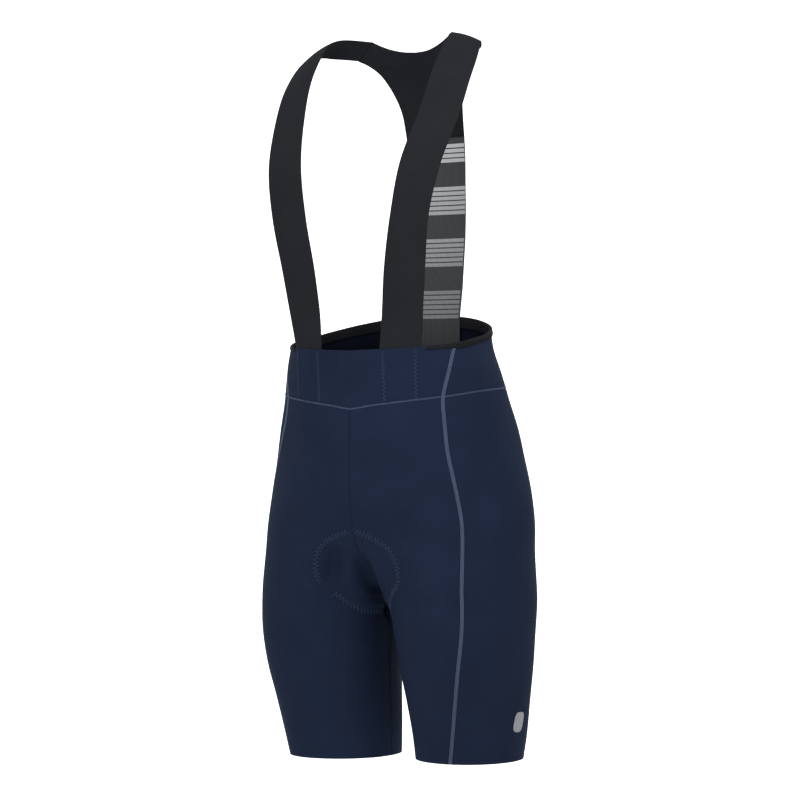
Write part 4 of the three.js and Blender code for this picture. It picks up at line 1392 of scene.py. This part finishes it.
def pad_stitches():
    """Zigzag along the seat pad's outline, both halves."""
    outline = pad_outline()
    whole = np.concatenate([outline, (outline * MIRROR)[::-1], outline[:1]])
    places, normals = (np.array(v) for v in zip(*(nearest(CLOTH_TREE, p) for p in whole)))
    away = np.sum(normals * (places - PAD_HEART), -1)
    normals = np.where(away[:, None] < 0, -normals, normals)
    keep = np.concatenate([[True], np.linalg.norm(np.diff(places, axis=0), axis=1) > 0.5])
    threads = Threads(0.13, 5)
    zigzag(threads, SeamPath(places[keep], normals[keep]), 5.0, 7.5, 0.55, cloth=CLOTH_TREE)
    threads.build("pad_zigzag_threads", PALE_THREAD)


pad_stitches()


def binding_stitches():
    """Zigzag through the waist binding, round the back."""
    threads = Threads(0.2, 4)
    level = TAPE_BACK_DROP * 0.62
    places, normals = [], []
    for column in range(SIDE + 6, LAST + 1):
        along = LEFT.down[:SEAM_ROW, column]
        places.append(point_at(level, along, LEFT.outer[:SEAM_ROW, column]))
        normals.append(LEFT.out[3, column])
    path = SeamPath(then_mirrored(np.array(places)), then_mirrored(np.array(normals)))
    zigzag(threads, path, 3.4, 2.6, 1.4)
    threads.build("binding_threads", BLACK_THREAD)


binding_stitches()


TAB_WIDTH = 19.0
TAB_HEIGHT = 24.0
TAB_TURN = 0.503
TAB_Z = -790.0
TAB_TILT = math.radians(4)
TAB_ROUNDNESS = 3.4
TAB_SPACE = 0.35
TAB_FILM = 0.3


def hem_tab():
    """A plain reflective tab near the left hem."""
    rows, columns = 28, 14
    v, u = np.meshgrid(np.linspace(-1, 1, rows), np.linspace(-1, 1, columns), indexing="ij")
    half = TAB_WIDTH / 2 * (1 - np.abs(v * 0.995) ** TAB_ROUNDNESS) ** (1 / TAB_ROUNDNESS)
    anchor = body_point(TAB_TURN, TAB_Z)
    ahead = unit(body_point(TAB_TURN + 0.002, TAB_Z) - anchor)
    cosine, sine = math.cos(TAB_TILT), math.sin(TAB_TILT)
    grid, out = np.zeros((rows, columns, 3)), np.zeros((rows, columns, 3))
    for i in range(rows):
        for j in range(columns):
            x, y = u[i, j] * half[i, j], -v[i, j] * TAB_HEIGHT / 2
            x, y = x * cosine + y * sine, y * cosine - x * sine
            place, normal = nearest(CLOTH_TREE, anchor + ahead * x + np.array([0, 0, 1.0]) * y)
            grid[i, j], out[i, j] = place, normal
    if np.sum(out[0, 0] * (grid[0, 0] - LEG_HEART)) < 0:
        out = -out
    uv = np.stack([u * TAB_WIDTH / 2, -v * TAB_HEIGHT / 2], -1)
    piece = shell("hem_tab", grid + out * TAB_SPACE, out, TAB_FILM, REFLECTIVE, uv)
    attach(piece, "root")


hem_tab()


def yoke_seams():
    """Seams between the straps, the yoke and the back panel, with fine zigzags."""
    threads = Threads(0.2, 4)
    strap_rows = slice(0, int(YOKE_LINES * YOKE_STRAP_SHARE) + 1)
    inside = -sheet_normals(YOKE_GRID)
    for face, depth in ((inside, STRAP_CLOTH), (-inside, 0.0)):
        places = YOKE_GRID + inside * depth
        side = SeamPath(places[strap_rows, 0], face[strap_rows, 0])
        for one in (side, side.mirrored()):
            zigzag(threads, one, 2.6, 3.2, 0.15)
        zigzag(threads, SeamPath(places[-1], face[-1]), 2.8, 3.4, 0.2)
    threads.build("yoke_threads", BLACK_THREAD)


yoke_seams()


# Floor, light and camera

VIEW_AZIMUTH = math.radians(32)
VIEW_DISTANCE = 3.5
VIEW_SIDE = 0.0117
VIEW_HEIGHT = -0.42
MM_PER_PIXEL = 1.17
PICTURE_WIDTH = 800
SENSOR_WIDTH = 36
RIGHT_WAY = np.array([math.cos(VIEW_AZIMUTH), math.sin(VIEW_AZIMUTH), 0])
AHEAD_WAY = np.array([-math.sin(VIEW_AZIMUTH), math.cos(VIEW_AZIMUTH), 0])

FLOOR_HEIGHT = -2.6
FLOOR_HALF_WIDTH = 9.0
FLOOR_START = -6.0
FLOOR_CURVE = 2.0
WALL_DISTANCE = 5.5
WALL_TOP = 6.0


def backdrop():
    """A pale floor that curves up into a white wall behind the shorts."""
    bend_start = WALL_DISTANCE - FLOOR_CURVE
    profile = [(FLOOR_START, FLOOR_HEIGHT), (bend_start, FLOOR_HEIGHT)]
    for a in np.linspace(0.1, math.pi / 2, 14):
        rise = FLOOR_CURVE * (1 - math.cos(a))
        profile.append((bend_start + FLOOR_CURVE * math.sin(a), FLOOR_HEIGHT + rise))
    profile.append((WALL_DISTANCE, WALL_TOP))
    sides = (-FLOOR_HALF_WIDTH, FLOOR_HALF_WIDTH)
    points = np.array([
        [RIGHT_WAY * side + AHEAD_WAY * d + np.array([0, 0, z]) for side in sides] for d, z in profile
    ])
    s = Shader("studio_white")
    height = s.node("SeparateXYZ", Vector=s.position()).outputs["Z"]
    glow = s.math("DIVIDE", s.math("SUBTRACT", height, FLOOR_HEIGHT), 0.7)
    made = s.node("Clamp", Value=glow, Min=0.25, Max=1.0)
    s.set(
        Base_Color=(0.9, 0.9, 0.9, 1), Roughness=0.9, Emission_Color=(1, 1, 1, 1),
        Emission_Strength=made.outputs[0], Specular_IOR_Level=0.0,
    )
    rows, columns = points.shape[:2]
    obj = mesh_object("studio_floor", points.reshape(-1, 3) / MM, quads(rows, columns), s.material, None, 0)


# Azimuth and elevation in degrees, distance and size in metres, height that it looks at, and watts
LIGHTS = {
    "key": (46, 50, 1.8, 1.0, -0.42, 20),
    "fill": (30, -14, 3.0, 1.4, -0.42, 3.5),
    "yoke_fill": (2, -12, 1.4, 0.6, -0.12, 4.5),
    "left": (-55, 25, 3.0, 1.2, -0.42, 11),
    "right": (118, 22, 3.0, 1.2, -0.42, 12),
    "top": (32, 80, 2.8, 1.6, -0.42, 6),
}
WORLD_STRENGTH = 0.42


def area_light(name, azimuth, elevation, distance, size, height, power):
    """A square soft light that looks at the shorts; azimuths as the camera's."""
    a, e = math.radians(azimuth), math.radians(elevation)
    data = bpy.data.lights.new(name, "AREA")
    data.size, data.energy = size, power
    light = bpy.data.objects.new(name, data)
    back = Vector((math.sin(a) * math.cos(e), -math.cos(a) * math.cos(e), math.sin(e)))
    light.location = Vector((0, 0, height)) + back * distance
    light.rotation_mode = "QUATERNION"
    light.rotation_quaternion = (-back).to_track_quat("-Z", "Y")
    bpy.context.collection.objects.link(light)


def studio():
    backdrop()
    world = bpy.data.worlds.new("studio")
    world.use_nodes = True
    background = world.node_tree.nodes["Background"]
    background.inputs["Color"].default_value = (1, 1, 1, 1)
    background.inputs["Strength"].default_value = WORLD_STRENGTH
    bpy.context.scene.world = world
    for name, values in LIGHTS.items():
        area_light(name, *values)
    view = bpy.context.scene.view_settings
    view.view_transform = "Standard"
    view.look = "None"


def camera():
    data = bpy.data.cameras.new("camera")
    data.sensor_width = SENSOR_WIDTH
    data.lens = SENSOR_WIDTH * VIEW_DISTANCE / MM / MM_PER_PIXEL / PICTURE_WIDTH
    data.clip_end = 60
    obj = bpy.data.objects.new("camera", data)
    obj.location = RIGHT_WAY * VIEW_SIDE - AHEAD_WAY * VIEW_DISTANCE + np.array([0, 0, VIEW_HEIGHT])
    obj.rotation_euler = (math.pi / 2, 0, VIEW_AZIMUTH)
    bpy.context.collection.objects.link(obj)
    bpy.context.scene.camera = obj


studio()
camera()
